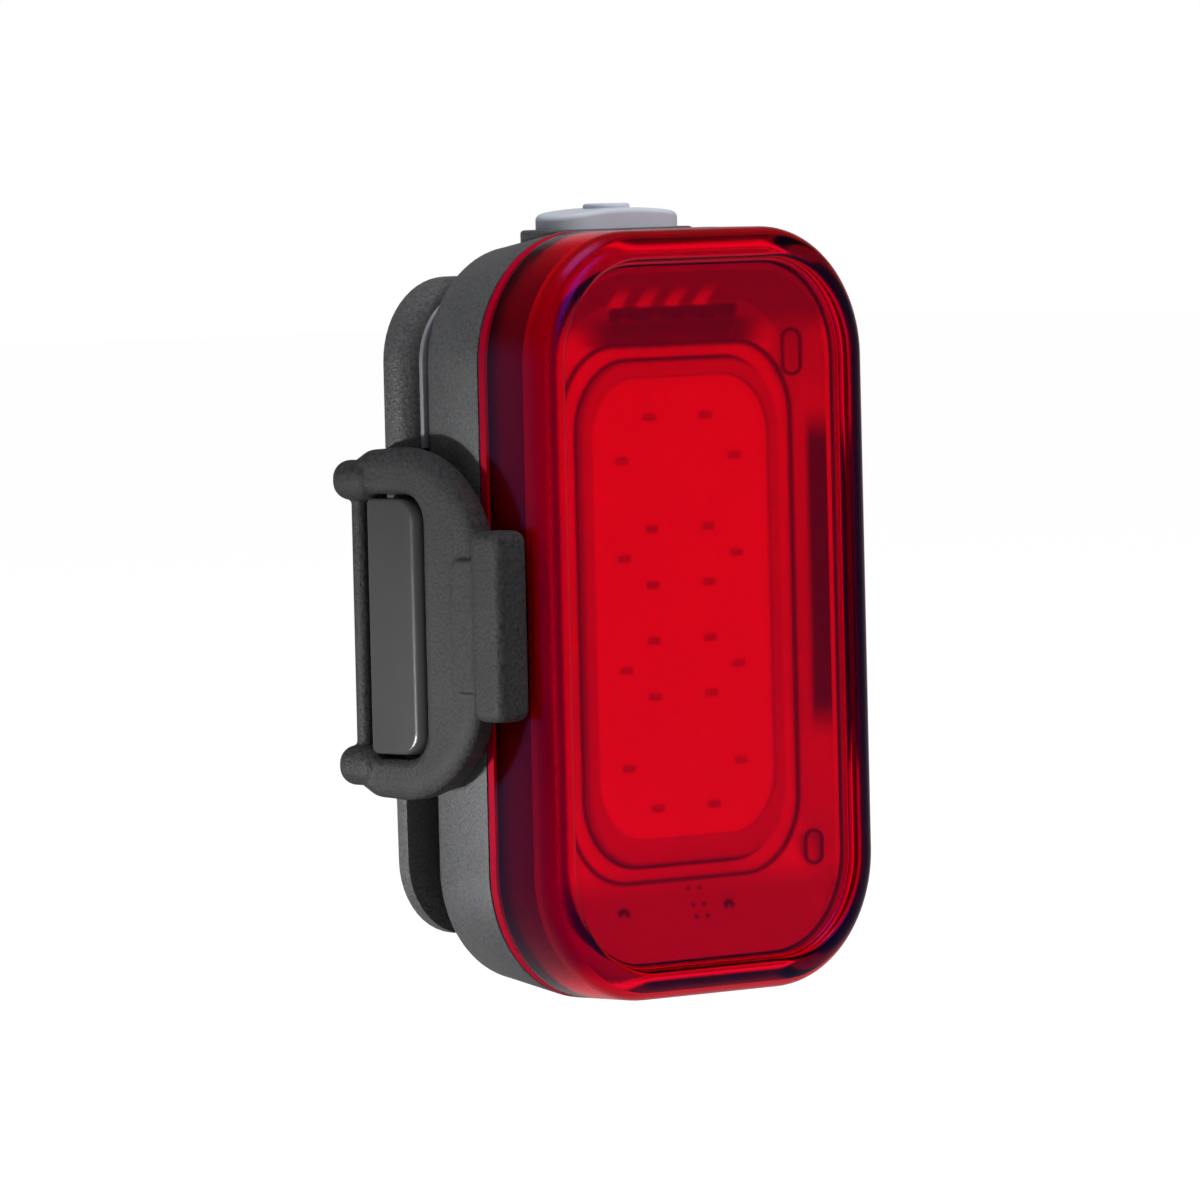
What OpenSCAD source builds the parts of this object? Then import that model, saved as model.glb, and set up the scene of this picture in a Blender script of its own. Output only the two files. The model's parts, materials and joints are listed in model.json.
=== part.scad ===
// Bicycle rear light with a strap mount, a belt clip and a charging port.
// +Z is up, the lens faces -Y, and the origin is on the clip's rear face at mid height.

/* [Body] */
// Width of the lens and the housing where they meet
body_w = 35.5; // [34:0.5:42]
// Height of the lens and the housing where they meet
body_h = 60; // [58:0.5:72]
// Corner radius of the outline where they meet
corner_r = 10.4; // [9.5:0.1:12]
// Depth of the housing behind the lens
housing_depth = 7.2; // [6.9:0.1:9]
// Inset of the housing's rear edge on every side
housing_draft = 1.25; // [0.9:0.05:1.5]
// Thickness of the housing's side walls at its rear edge
housing_wall = 1.5; // [1.3:0.1:2]
// Thickness of the housing's rear wall
back_wall = 1.4; // [1.2:0.1:1.8]
// Reach of the housing's tongue into the lens
tongue_depth = 4.1; // [3:0.1:4.5]

/* [Lens] */
// Depth of the lens in front of the housing
lens_depth = 7.6; // [7.2:0.1:9]
// Radius of the lens's front edge
lens_edge_r = 1.7; // [1:0.1:2]
// Width of the flat raised rim round the lens's front
rim_w = 0.55; // [0.4:0.05:1]
// Height of that rim above the front panel
rim_step = 0.8; // [0.4:0.1:1.2]
// Thickness of the lens's side wall
lens_wall = 1.5; // [1.3:0.1:1.8]
// Thickness of the lens's front panel
panel_t = 1.4; // [1:0.1:1.8]
// Width of the seal ring between lens and housing
seal_w = 0.7; // [0.5:0.1:0.9]
// Thickness of the seal ring
seal_t = 0.4; // [0.3:0.05:0.4]

/* [Reflector] */
// Run of the reflector's side walls, from its floor out to the housing
wall_run_x = 2.5; // [2:0.1:3.2]
// Run of the reflector's upper and lower walls
wall_run_z = 6.25; // [5.5:0.05:7]
// Corner radius of the floor
floor_r = 6; // [4:0.5:7]
// Thickness of the reflector's floor
floor_t = 0.8; // [0.6:0.1:1]
// Thickness of the reflector at its front edge
refl_edge = 0.5; // [0.4:0.1:0.8]
// Distance of the slot's ends from the reflector's side walls
slot_inset = 5.5; // [4.5:0.1:7]
// Height of the slot in the upper wall
slot_h = 1.5; // [1.2:0.1:2]

/* [Emitter] */
// Room between the emitter's dam and the floor's side edges
cob_room_x = 1.75; // [1.5:0.05:2.5]
// Room between the emitter's dam and the floor's top and bottom edges
cob_room_z = 1.3; // [1:0.05:2.5]
// Corner radius of the dam
cob_r = 5.5; // [4:0.5:7]
// Width of the dam's ring
dam_w = 0.9; // [0.6:0.1:1.5]
// Height of the dam above its board
dam_h = 1.5; // [1.2:0.1:1.8]
// Thickness of the red emitting layer
emitter_t = 1.2; // [0.9:0.1:1.2]
// Length of one diode chip
die_w = 1.4; // [1:0.1:2]
// Height of one diode chip
die_h = 0.6; // [0.4:0.1:0.9]

/* [Boards] */
// Overlap of the emitter's metal-core board behind the reflector's floor
led_board_lap = 0.8; // [0.6:0.1:1]
// Reach of that board above the lamps in the slot
lamp_lap = 0.9; // [0.6:0.1:1.2]
// Thickness of the emitter's board
led_board_t = 1.2; // [1:0.1:1.4]
// Height of the plug that joins the two boards
link_h = 1.4; // [1.2:0.1:1.8]
// Room between the main board and the housing's walls
board_room = 2; // [1.9:0.05:2.4]
// Distance of the main board behind the lens's rear edge
board_set = 1.2; // [1.15:0.05:1.5]
// Thickness of the main board
board_t = 0.8; // [0.6:0.1:1]
// Radius of the posts that carry the main board
post_r = 2; // [1.7:0.1:2.2]
// Distance of each post from the main board's side edge
post_inset_x = 1.8; // [1.6:0.1:2]
// Distance of each post from the main board's top or bottom edge
post_inset_z = 2.75; // [2.4:0.05:3]
// Radius of the screws' shanks
screw_r = 0.9; // [0.7:0.1:1]
// Radius of the screws' heads
screw_head_r = 1.6; // [1.4:0.1:1.8]
// Height of the screws' heads
screw_head_h = 0.9; // [0.7:0.1:1.1]

/* [Battery] */
// Distance of the battery's sides from the main board's edges
battery_side = 2; // [1.5:0.1:4]
// Distance of the battery's ends from the main board's ends
battery_end = 7.75; // [7.5:0.05:9]
// Thickness of the adhesive pad behind the battery
pad_t = 0.3; // [0.2:0.1:0.5]
// Room between the battery and the main board
battery_room = 0.9; // [0.8:0.1:1.2]
// Radius of the battery's leads
lead_r = 0.45; // [0.3:0.05:0.6]

/* [Button] */
// Width of the raised boss beyond each end of the button
boss_rim_x = 1; // [0.9:0.1:1.6]
// Width of that boss in front of and behind the button
boss_rim_y = 0.7; // [0.6:0.05:0.8]
// Height of that boss above the top of the lens
boss_rise = 0.12; // [0.1:0.01:0.8]
// Depth of the well that the button sits in
well_depth = 1.4; // [1.2:0.1:1.6]
// Width of the button
button_w = 13.3; // [12:0.1:13.8]
// Distance of the button from the housing's front and rear edges
button_room = 0.9; // [0.8:0.05:1.2]
// Height of the button's crown above the boss
button_rise = 1.6; // [1.4:0.05:2.4]
// Fall of the crown from its middle to its ends
crown_drop = 0.55; // [0.2:0.05:0.6]
// Radius of the raised dot on the button
dot_r = 1.85; // [1:0.05:2.2]
// Height of the raised dot
dot_h = 0.35; // [0.2:0.05:0.6]
// Travel of the button
button_travel = 0.6; // [0.3:0.05:0.6]
// Radius of the button's stem
stem_r = 1.5; // [1.2:0.1:1.6]
// Overlap of the flange that holds the button in
flange_lap = 0.7; // [0.5:0.1:0.8]

/* [Charging port] */
// Width of the port's metal shell
port_w = 8.94; // [7:0.02:9]
// Thickness of the port's metal shell
port_d = 3.26; // [2.5:0.02:3.3]
// Length of the port's metal shell
port_l = 7.3; // [6:0.1:7.6]
// Thickness of the floor that the port's mouth passes through
port_floor = 0.85; // [0.7:0.05:1]
// Overlap of the rubber cover past each end of the port
cover_lap_x = 1.23; // [1:0.01:2]
// Overlap of the rubber cover in front of and behind the port
cover_lap_y = 0.5; // [0.45:0.01:0.5]
// Radius of the cover's hinge bead
bead_r = 0.35; // [0.25:0.05:0.5]

/* [Clip] */
// Overhang of the clip past each side of the body
clip_side = 0.25; // [-1:0.05:0.25]
// Distance from the clip's rear face to the housing, which sets the gap behind the blade
clip_t = 3.4; // [3:0.1:4.5]
// Thickness of the light gasket between the clip's root and the housing
gasket_t = 0.8; // [0.5:0.1:1]
// Inset of the clip's root at the gasket, from its outline at the rear
root_draft = 1.2; // [0.6:0.1:1.5]
// Drop of the clip's top below the top of the lens
clip_top_drop = 3.35; // [1.5:0.05:4]
// Rise of the clip's tip above the bottom of the lens
clip_tip_rise = 5; // [3:0.5:8]
// Height of the clip's root
root_h = 13.5; // [11:0.5:15]
// Corner radius of the clip's root
root_r = 6.6; // [5:0.1:10]
// Thickness of the blade
blade_t = 1.3; // [1:0.1:1.6]
// Corner radius of the blade's tip
blade_r = 6; // [3:0.5:9]
// Lean of the blade towards the housing, in degrees
blade_lean = 0.7; // [0:0.1:1]
// Drop of the clip's screws below the clip's top
clip_screw_drop = 6; // [5.5:0.1:6.5]
// Distance between the clip's screws and the nearest board posts, across
clip_screw_gap = 4.7; // [4.2:0.1:5.4]

/* [Hooks] */
// Outer face of the hooks' lips, from the body's side
hook_out = 2.75; // [2.55:0.05:3.2]
// Thickness of the lips
lip_t = 1.4; // [1:0.1:1.6]
// Reach of the lips past the clip's rear face
lip_past = -0.5; // [-0.7:0.05:0.1]
// Height of the lips
lip_h = 20; // [18:0.5:21]
// Corner radius of the lips
lip_r = 1.8; // [0.6:0.1:2]
// Reach of the lips in front of the housing's rear face
hook_lead = 3; // [2.5:0.1:3.2]
// Thickness of the hooks' stems
hook_stem_t = 1.7; // [1.4:0.1:1.8]
// Height of the hooks' stems
hook_stem_h = 13.3; // [10:0.1:16]
// Drop of the hooks' middle below mid height
hook_drop = 0.4; // [0:0.05:2]

/* [Strap] */
// Drop of the strap's middle below mid height
strap_drop = 0.2; // [0:0.05:1.5]
// Gap between the strap's loops and the body's side
loop_gap = 0.45; // [0.4:0.05:0.6]
// Thickness of the loops
loop_t = 2.7; // [2.2:0.1:3]
// Width of the loops' upper and lower bars
loop_bar = 3.8; // [2.8:0.1:4]
// Width of the loops' front bars
loop_front = 6.6; // [4.5:0.1:7]
// Radius of the loops' large corners
loop_r = 5; // [4:0.1:6]
// Room between the lip and the loop above and below
eyelet_room_z = 0.3; // [0.3:0.1:1.4]
// Room between the lip and the loop in front
eyelet_room_y = 0.6; // [0.5:0.1:2]
// Extra corner radius of the eyelet, over the lip's
eyelet_ease = 0.4; // [0.3:0.1:0.5]
// Distance of the strap's bends from the body's side
bend_out = 2.05; // [2:0.05:2.4]
// Gap between the clip and the strap's thick edges
strap_gap = 0.4; // [0.4:0.1:0.8]
// Radius of the strap's bends at its thick edges
edge_r = 1.55; // [1.55:0.05:1.7]
// Height of the strap's thick edges
edge_h = 3.9; // [3:0.1:4.2]
// Drop of the strap's edges behind the clip below the loops' edges
band_drop = 1; // [0.6:0.1:1.2]
// Thickness of the strap's thick edges
edge_t = 2.8; // [2.4:0.1:3]
// Thickness of the strap between its thick edges
web_t = 1.6; // [1.4:0.1:1.8]
// Set of that thinner part towards the clip
web_set = 0.5; // [0.2:0.05:0.5]
// Height of the pull tab
tab_h = 14.8; // [12:0.1:18]
// Length of the pull tab's grip
grip_l = 3.5; // [2:0.1:5]
// Reach of the grip in front of the loop
grip_reach = 2.9; // [1.5:0.1:4]
// Length of the step behind the grip
step_l = 2.3; // [1:0.1:3]
// Height of the step behind the grip
step_h = 10.3; // [8:0.1:14]
// Rise of the grip above the loop's outer face
grip_rise = 0.6; // [0.3:0.1:1]
// Rise of the step above the loop's outer face
step_rise = 0.3; // [0.1:0.1:0.5]

/* [Hidden] */

// Clearances
fit = 0.1;
thread_fit = 0.03;
pocket_fit = 0.05;
moving_fit = 0.2;
cut_past = 1;

corner_steps = 8;
$fn = 48;

// Stations from the clip's rear face forward to the lens's rim
y_house = -clip_t;
y_part = y_house - housing_depth;
y_back_in = y_house - back_wall;
y_rim = y_part - lens_depth;
y_panel = y_rim + rim_step;
y_panel_in = y_panel + panel_t;
y_tongue = y_part - tongue_depth;
y_battery = y_back_in - pad_t;
y_board = y_part + board_set;
battery_t = y_battery - y_board - battery_room;
y_board_front = y_board - board_t;
y_led_back = y_board_front - link_h;
y_led = y_led_back - led_board_t;
y_floor = y_led - floor_t;
y_refl = y_panel_in + fit;

// Outlines that fit inside one another
z_top = body_h / 2;
rim_inset = lens_edge_r + rim_w;
lens_in = lens_wall;
tongue_inset = lens_in + fit;
cavity_inset = housing_draft + housing_wall;
refl_inset = cavity_inset + fit;
cavity_w = body_w - 2 * cavity_inset;
cavity_h = body_h - 2 * cavity_inset;
z_cavity = cavity_h / 2;
floor_w = cavity_w - 2 * wall_run_x;
floor_h = cavity_h - 2 * wall_run_z;
floor_inset_x = body_w / 2 - floor_w / 2;
floor_inset_z = z_top - floor_h / 2;

// Reflector and emitter
cob_w = floor_w - 2 * cob_room_x;
cob_h = floor_h - 2 * cob_room_z;
slot_l = floor_w - 2 * slot_inset;
dam_gap = 0.25;
slot_wall = 0.8;
z_slot = floor_h / 2 + slot_wall + slot_h / 2;
lamp_count = 4;
lamp_w = 1.6;
lamp_t = 0.8;
window_w = 1.2;
window_h = 4;
window_depth = 0.5;
window_drop = 1;
window_z = floor_h / 2 - window_drop;
stake_r = 0.7;
stake_head_r = 1.1;
stake_head_h = 0.5;
stake_z = cob_h / 3;
led_board_w = floor_w + 2 * led_board_lap;
z_led_top = z_slot + slot_h / 2 + lamp_lap;
z_led_bottom = -floor_h / 2 - led_board_lap;
stake_x = (cob_w / 2 + dam_gap + led_board_w / 2) / 2;
inner_col = cob_w / 7;
outer_col = 2 * inner_col;
row_pitch = cob_h / 18;
inner_rows = [1, 3, 7];
outer_rows = [2, 5.5];
die_t = 1.1;

// Main board
board_w = cavity_w - 2 * board_room;
board_h = cavity_h - 2 * board_room;
battery_w = board_w - 2 * battery_side;
battery_h = board_h - 2 * battery_end;
post_x = board_w / 2 - post_inset_x;
post_z = board_h / 2 - post_inset_z;
board_r = 2;
post_floor = 0.6;
screw_l = y_back_in - y_board - post_floor;
link_w = 9;
link_z = -cob_h / 3;
link_d = 3;
chip_w = 4;
chip_t = 0.9;
chip_x = -battery_w / 3;
coil_w = 2.4;
coil_t = 2;
coil_x = -battery_w / 4;
cap_w = 1;
cap_l = 2;
cap_t = 0.7;
cap_pitch = 1.5;
cap_x = battery_w / 4;
part_gap = 0.3;
low_part_z = -battery_h / 2 - part_gap - coil_w / 2;
high_part_z = battery_h / 2 + part_gap + chip_w / 2;
plug_w = 3.4;
plug_t = 2.2;
plug_h = 3;
plug_inset = 3.8;
plug_x = battery_w / 2 - plug_inset;
plug_lift = 1.7;
lead_pitch = 1.6;

// Button, its stem and the switch below it
boss_w = button_w + 2 * boss_rim_x;
button_d = housing_depth - 2 * button_room;
boss_d = button_d + 2 * boss_rim_y;
flange_r = stem_r + flange_lap;
y_button = y_house - housing_depth / 2;
y_stem = (y_back_in + y_part) / 2;
z_boss = z_top + boss_rise;
z_well = z_boss - well_depth;
z_cap = z_well + button_travel + fit;
z_crown = z_boss + button_rise;
button_r = button_d / 2 - fit;
boss_r = button_r;
flange_t = 0.8;
stem_end = 0.3;
z_flange = z_cavity - pocket_fit;
z_stem = z_flange - flange_t - stem_end;
plunger_r = 1;
plunger_l = 1.7;
plunger_seat = 0.2;
z_switch = z_stem - pocket_fit - plunger_l;
switch_w = 6;
switch_h = 3.2;
switch_past = 1.5;

// Charging port and its cover
y_port = y_board + port_d / 2;
cover_w = port_w + 2 * cover_lap_x;
cover_d = port_d + 2 * cover_lap_y;
z_recess = -z_cavity - port_floor;
z_port = z_recess + moving_fit;
port_wall = 0.3;
port_r = 1.25;
tongue_w = 6.7;
tongue_t = 0.7;
tongue_back = 0.9;
cover_r = 1.2;
cover_plug_w = port_w - 4 * port_wall;
cover_plug_d = port_d - 4 * port_wall;
cover_plug_h = 0.5;
y_cover_hinge = y_port + cover_d / 2;
z_cover_hinge = -z_top + housing_draft * (y_cover_hinge - y_part) / housing_depth;

// Clip
clip_w = body_w + 2 * clip_side;
clip_screw_x = post_x - clip_screw_gap;
z_clip_top = z_top - clip_top_drop;
z_clip_tip = -z_top + clip_tip_rise;
z_clip_hinge = z_clip_top - root_h;
y_clip_hinge = -blade_t / 2;
z_root = z_clip_top - root_h / 2;
z_clip_screw = z_clip_top - clip_screw_drop;
y_root = y_house + gasket_t;
clip_screw_l = 4;

// Hooks and strap
hook_reach = body_w / 2 + hook_out;
lip_w = hook_lead + clip_t + lip_past;
y_lip = y_house - hook_lead;
hook_stem_back = 0.2;
pocket_wall = 0.4;
z_hook = -hook_drop;
z_strap = -strap_drop;
tab_r = 0.8;
mid_loop_back = 1.2;
mid_loop_y = y_lip + mid_loop_back;
loop_in = body_w / 2 + loop_gap;
loop_h = lip_h + 2 * (eyelet_room_z + loop_bar);
loop_reach = eyelet_room_y + loop_front - y_lip;
band_h = loop_h - 2 * band_drop;
bend_x = body_w / 2 + bend_out;
bend_y = strap_gap + edge_t / 2;
loop_taper = 2;
front_loop_z = loop_h / 2 - loop_r - loop_taper;
web_r = web_t / 2;
web_y = bend_y - web_set;
eyelet_r = lip_r + eyelet_ease;
band_end = bend_x - edge_r - moving_fit;
edge_round = 1.3;

// Points of a rounded rectangle, anticlockwise from the right
function rounded(w, h, r) = [
    for (quarter = [0 : 3], step = [0 : corner_steps])
        let (angle = 90 * (quarter + step / corner_steps))
        let (cx = (quarter == 0 || quarter == 3 ? 1 : -1) * (w / 2 - r))
        let (cy = (quarter < 2 ? 1 : -1) * (h / 2 - r))
        [cx + r * cos(angle), cy + r * sin(angle)]
];

// Rounded plate that stands upright between two stations
module plate(w, h, r, y_front, y_rear) {
    translate([0, y_rear, 0])
        rotate([90, 0, 0])
            linear_extrude(y_rear - y_front)
                polygon(rounded(w, h, r));
}

// The body's outline, drawn in by an inset, between two stations
module body_plate(inset, y_front, y_rear) {
    plate(body_w - 2 * inset, body_h - 2 * inset, corner_r - inset, y_front, y_rear);
}

// Rounded column that stands on a level
module column(w, d, r, y, z_low, z_high) {
    translate([0, y, z_low])
        linear_extrude(z_high - z_low)
            polygon(rounded(w, d, r));
}

// Flat outline in Y and Z, thickened outwards along X
module side_plate(x_from, thickness) {
    translate([x_from, 0, 0])
        rotate([90, 0, 90])
            linear_extrude(thickness)
                children();
}

// Cylinder along Y between two stations
module rod_y(r, x, z, y_front, y_rear) {
    translate([x, y_rear, z])
        rotate([90, 0, 0])
            cylinder(r = r, h = y_rear - y_front);
}

// Cylinder along X, centred
module rod_x(r, length, y, z) {
    translate([-length / 2, y, z])
        rotate([0, 90, 0])
            cylinder(r = r, h = length);
}

// Block given by its middle in X and Z and by two stations
module block(w, h, x, z, y_front, y_rear) {
    translate([x - w / 2, y_front, z - h / 2])
        cube([w, y_rear - y_front, h]);
}

// Skin through rounded rings, each [station, inset across, inset up], from rear to front
module loft(rings) {
    count = 4 * (corner_steps + 1);
    last = len(rings) - 1;
    points = [
        for (ring = rings)
            for (p = rounded(body_w - 2 * ring[1], body_h - 2 * ring[2], corner_r - ring[3]))
                [p[0], ring[0], p[1]]
    ];
    sides = [
        for (k = [0 : last - 1], i = [0 : count - 1])
            let (a = k * count + i)
            let (b = k * count + (i + 1) % count)
            each [[a, a + count, b + count], [a, b + count, b]]
    ];
    rear = [for (i = [0 : count - 1]) i];
    front = [for (i = [count - 1 : -1 : 0]) last * count + i];
    polyhedron(points, concat(sides, [rear, front]), convexity = 6);
}

function ring(y, inset) = [y, inset, inset, inset];

// Outer skin of the housing, without its tongue
module housing_skin() {
    loft([ring(y_house, housing_draft), ring(y_part, 0)]);
}

module at_posts() {
    for (x = [-post_x, post_x], z = [-post_z, post_z])
        translate([x, 0, z])
            children();
}

module at_clip_screws() {
    for (x = [-clip_screw_x, clip_screw_x])
        translate([x, 0, z_clip_screw])
            children();
}

module hook_pocket(clearance) {
    pocket_floor = cavity_w / 2 + pocket_wall;
    y_rear = y_house - hook_stem_back;
    translate([pocket_floor - clearance, y_rear - hook_stem_t - clearance, z_hook - hook_stem_h / 2 - clearance])
        cube([hook_reach - pocket_floor, hook_stem_t + 2 * clearance, hook_stem_h + 2 * clearance]);
}

module housing() {
    color([0.16, 0.17, 0.18])
    difference() {
        union() {
            difference() {
                union() {
                    housing_skin();
                    body_plate(tongue_inset, y_tongue, y_part + cut_past);
                    column(boss_w, boss_d, boss_r, y_button, z_cavity - fit, z_boss);
                }
                body_plate(cavity_inset, y_tongue - cut_past, y_back_in);
            }
            at_posts() rod_y(post_r, 0, 0, y_board, y_back_in + fit);
        }
        at_posts() rod_y(screw_r + thread_fit, 0, 0, y_board - cut_past, y_board + screw_l);
        at_clip_screws() rod_y(screw_r + fit, 0, 0, y_back_in - cut_past, y_house + cut_past);
        column(button_w + 2 * moving_fit, button_d + 2 * moving_fit, button_r + moving_fit,
            y_button, z_well, z_boss + cut_past);
        translate([0, y_stem, z_cavity - cut_past])
            cylinder(r = stem_r + moving_fit, h = z_well - z_cavity + 2 * cut_past);
        column(cover_w + 2 * moving_fit, cover_d + 2 * moving_fit, cover_r + moving_fit,
            y_port, -z_top - cut_past, z_recess);
        column(port_w + 2 * moving_fit, port_d + 2 * moving_fit, port_r + moving_fit,
            y_port, z_recess - cut_past, -z_cavity + cut_past);
        rod_x(bead_r + moving_fit, cover_w + 2 * moving_fit, y_cover_hinge, z_cover_hinge);
        for (side = [0, 1])
            mirror([side, 0, 0])
                hook_pocket(pocket_fit);
        seal_ring();
    }
}

// Ring midway across the lens's rear edge
module seal_ring() {
    edge = (lens_wall - seal_w) / 2;
    difference() {
        body_plate(edge, y_part, y_part + seal_t);
        body_plate(edge + seal_w, y_part - cut_past, y_part + seal_t + cut_past);
    }
}

module lens_seal() {
    color([0.1, 0.1, 0.1])
        seal_ring();
}

module lens() {
    edge_steps = 4;
    color([0.75, 0, 0.08, 0.6])
    difference() {
        loft(concat(
            [ring(y_part, 0)],
            [for (k = [0 : edge_steps])
                let (angle = 90 * k / edge_steps)
                ring(y_rim + lens_edge_r * (1 - sin(angle)), lens_edge_r * (1 - cos(angle)))],
            [ring(y_rim, rim_inset), ring(y_panel, rim_inset + fit)]));
        body_plate(lens_in, y_panel_in, y_part + cut_past);
    }
}

module reflector() {
    inner = refl_inset + refl_edge;
    color([0.85, 0.1, 0.12])
    difference() {
        union() {
            loft([
                [y_led, floor_inset_x - floor_t, floor_inset_z - floor_t, corner_r - floor_r],
                ring(y_refl, refl_inset)]);
            for (x = [-stake_x, stake_x], z = [-stake_z, stake_z]) {
                rod_y(stake_r, x, z, y_led - fit, y_led_back + stake_head_h);
                rod_y(stake_head_r, x, z, y_led_back, y_led_back + stake_head_h);
            }
        }
        loft([
            [y_floor, floor_inset_x, floor_inset_z, corner_r - floor_r],
            ring(y_refl, inner),
            ring(y_refl - cut_past, inner)]);
        plate(cob_w + 2 * dam_gap, cob_h + 2 * dam_gap, cob_r + dam_gap, y_floor - cut_past, y_led + cut_past / 2);
        translate([0, 0, z_slot])
            plate(slot_l, slot_h, slot_h / 2 - pocket_fit, y_refl, y_led + cut_past);
        for (x = [-1, 1], z = [-window_z, window_z])
            translate([x * (floor_w / 2 + window_w), 0, z])
                plate(window_w, window_h, window_w / 2 - pocket_fit, y_refl, y_floor - window_depth);
    }
}

module led_board() {
    color([0.8, 0.8, 0.8])
    difference() {
        translate([0, 0, (z_led_top + z_led_bottom) / 2])
            plate(led_board_w, z_led_top - z_led_bottom, board_r, y_led, y_led_back);
        for (x = [-stake_x, stake_x], z = [-stake_z, stake_z])
            rod_y(stake_r + fit, x, z, y_led - cut_past, y_led_back + cut_past);
    }
}

module led_dam() {
    color([0.8, 0.05, 0.1])
    difference() {
        plate(cob_w, cob_h, cob_r, y_led - dam_h, y_led);
        plate(cob_w - 2 * dam_w, cob_h - 2 * dam_w, cob_r - dam_w, y_led - dam_h - cut_past, y_led + cut_past);
    }
}

module at_chips() {
    for (side = [-1, 1], up = [-1, 1]) {
        for (row = inner_rows)
            translate([side * inner_col, 0, up * row * row_pitch])
                children();
        for (row = outer_rows)
            translate([side * outer_col, 0, up * row * row_pitch])
                children();
    }
}

module led_emitter() {
    inset = dam_w + pocket_fit;
    color([0.9, 0, 0])
    difference() {
        plate(cob_w - 2 * inset, cob_h - 2 * inset, cob_r - inset, y_led - emitter_t, y_led);
        at_chips()
            block(die_w + 2 * pocket_fit, die_h + 2 * pocket_fit, 0, 0, y_led - emitter_t - cut_past, y_led + cut_past);
    }
}

module led_chips() {
    color([0.5, 0, 0])
        at_chips()
            block(die_w, die_h, 0, 0, y_led - die_t, y_led);
}

module slot_lamps() {
    pitch = slot_l / lamp_count;
    color([0.95, 0.2, 0.15])
        for (k = [0 : lamp_count - 1])
            block(lamp_w, slot_h - 4 * fit, (k - (lamp_count - 1) / 2) * pitch, z_slot, y_led - lamp_t, y_led);
}

module board_link() {
    color([0.9, 0.88, 0.8])
        block(link_w, link_d, 0, link_z, y_led_back, y_board_front);
}

module main_board() {
    color([0.05, 0.3, 0.15])
    difference() {
        plate(board_w, board_h, board_r, y_board_front, y_board);
        at_posts() rod_y(screw_r + fit, 0, 0, y_board_front - cut_past, y_board + cut_past);
    }
}

module screw(y_front, length) {
    rod_y(screw_r, 0, 0, y_front, y_front + length);
}

module board_screws() {
    color([0.7, 0.7, 0.72])
        at_posts() {
            screw(y_board_front, board_t + screw_l - fit);
            rod_y(screw_head_r, 0, 0, y_board_front - screw_head_h, y_board_front);
        }
}

module controller_chip() {
    color([0.1, 0.1, 0.1])
        block(chip_w, chip_w, chip_x, high_part_z, y_board, y_board + chip_t);
}

module power_coil() {
    color([0.3, 0.3, 0.32])
        block(coil_w, coil_w, coil_x, low_part_z, y_board, y_board + coil_t);
}

module capacitors() {
    color([0.7, 0.55, 0.35])
        for (k = [0 : 2])
            block(cap_w, cap_l, cap_x + k * cap_pitch - cap_pitch / 2, low_part_z, y_board, y_board + cap_t);
}

module status_lamp() {
    color([0.9, 0.9, 0.85])
        block(cap_w, cap_w, switch_w / 2 + cap_w, z_switch, y_board, y_board + cap_t);
}

module tact_switch() {
    color([0.2, 0.2, 0.22])
    difference() {
        block(switch_w, switch_h, 0, z_switch - switch_h / 2, y_board, y_stem + switch_past);
        translate([0, y_stem, z_switch - plunger_seat - button_travel - fit])
            cylinder(r = plunger_r + fit, h = switch_h);
    }
}

module switch_plunger() {
    color([0.85, 0.8, 0.7])
        translate([0, y_stem, z_switch - plunger_seat])
            cylinder(r = plunger_r, h = plunger_l + plunger_seat);
}

module button_cap() {
    half = button_w / 2;
    crown_r = (half * half + crown_drop * crown_drop) / (2 * crown_drop);
    color([0.66, 0.7, 0.75])
    union() {
        intersection() {
            column(button_w, button_d, button_r, y_button, z_cap, z_crown + cut_past);
            translate([0, y_house + cut_past, z_crown - crown_r])
                rotate([90, 0, 0])
                    cylinder(r = crown_r, h = housing_depth + 2 * cut_past, $fn = 200);
        }
        translate([0, y_button, z_crown - crown_drop])
            cylinder(r = dot_r, h = crown_drop + dot_h);
        translate([0, y_stem, z_stem])
            cylinder(r = stem_r, h = z_cap - z_stem + fit);
        translate([0, y_stem, z_flange - flange_t])
            cylinder(r = flange_r, h = flange_t);
    }
}

module battery() {
    color([0.75, 0.77, 0.8])
        plate(battery_w, battery_h, board_r / 2, y_battery - battery_t, y_battery);
}

module battery_pad() {
    color([0.9, 0.9, 0.9])
        plate(battery_w - board_r, battery_h - board_r, board_r / 2, y_battery, y_back_in);
}

module battery_plug() {
    color([0.95, 0.95, 0.9])
        block(plug_w, plug_h, plug_x, battery_h / 2 + plug_lift + plug_h / 2, y_board, y_board + plug_t);
}

module battery_lead(x) {
    translate([x, y_board + plug_t / 2, battery_h / 2])
        cylinder(r = lead_r, h = plug_lift);
}

module lead_positive() {
    color([0.8, 0.1, 0.1])
        battery_lead(plug_x + lead_pitch / 2);
}

module lead_negative() {
    color([0.1, 0.1, 0.1])
        battery_lead(plug_x - lead_pitch / 2);
}

module usb_shell() {
    color([0.75, 0.76, 0.78])
    difference() {
        column(port_w, port_d, port_r, y_port, z_port, z_port + port_l);
        column(port_w - 2 * port_wall, port_d - 2 * port_wall, port_r - port_wall,
            y_port, z_port - cut_past, z_port + port_l - port_wall);
    }
}

module usb_tongue() {
    color([0.1, 0.1, 0.1])
        translate([-tongue_w / 2, y_port - tongue_t / 2, z_port + tongue_back])
            cube([tongue_w, tongue_t, port_l - port_wall - tongue_back]);
}

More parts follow.
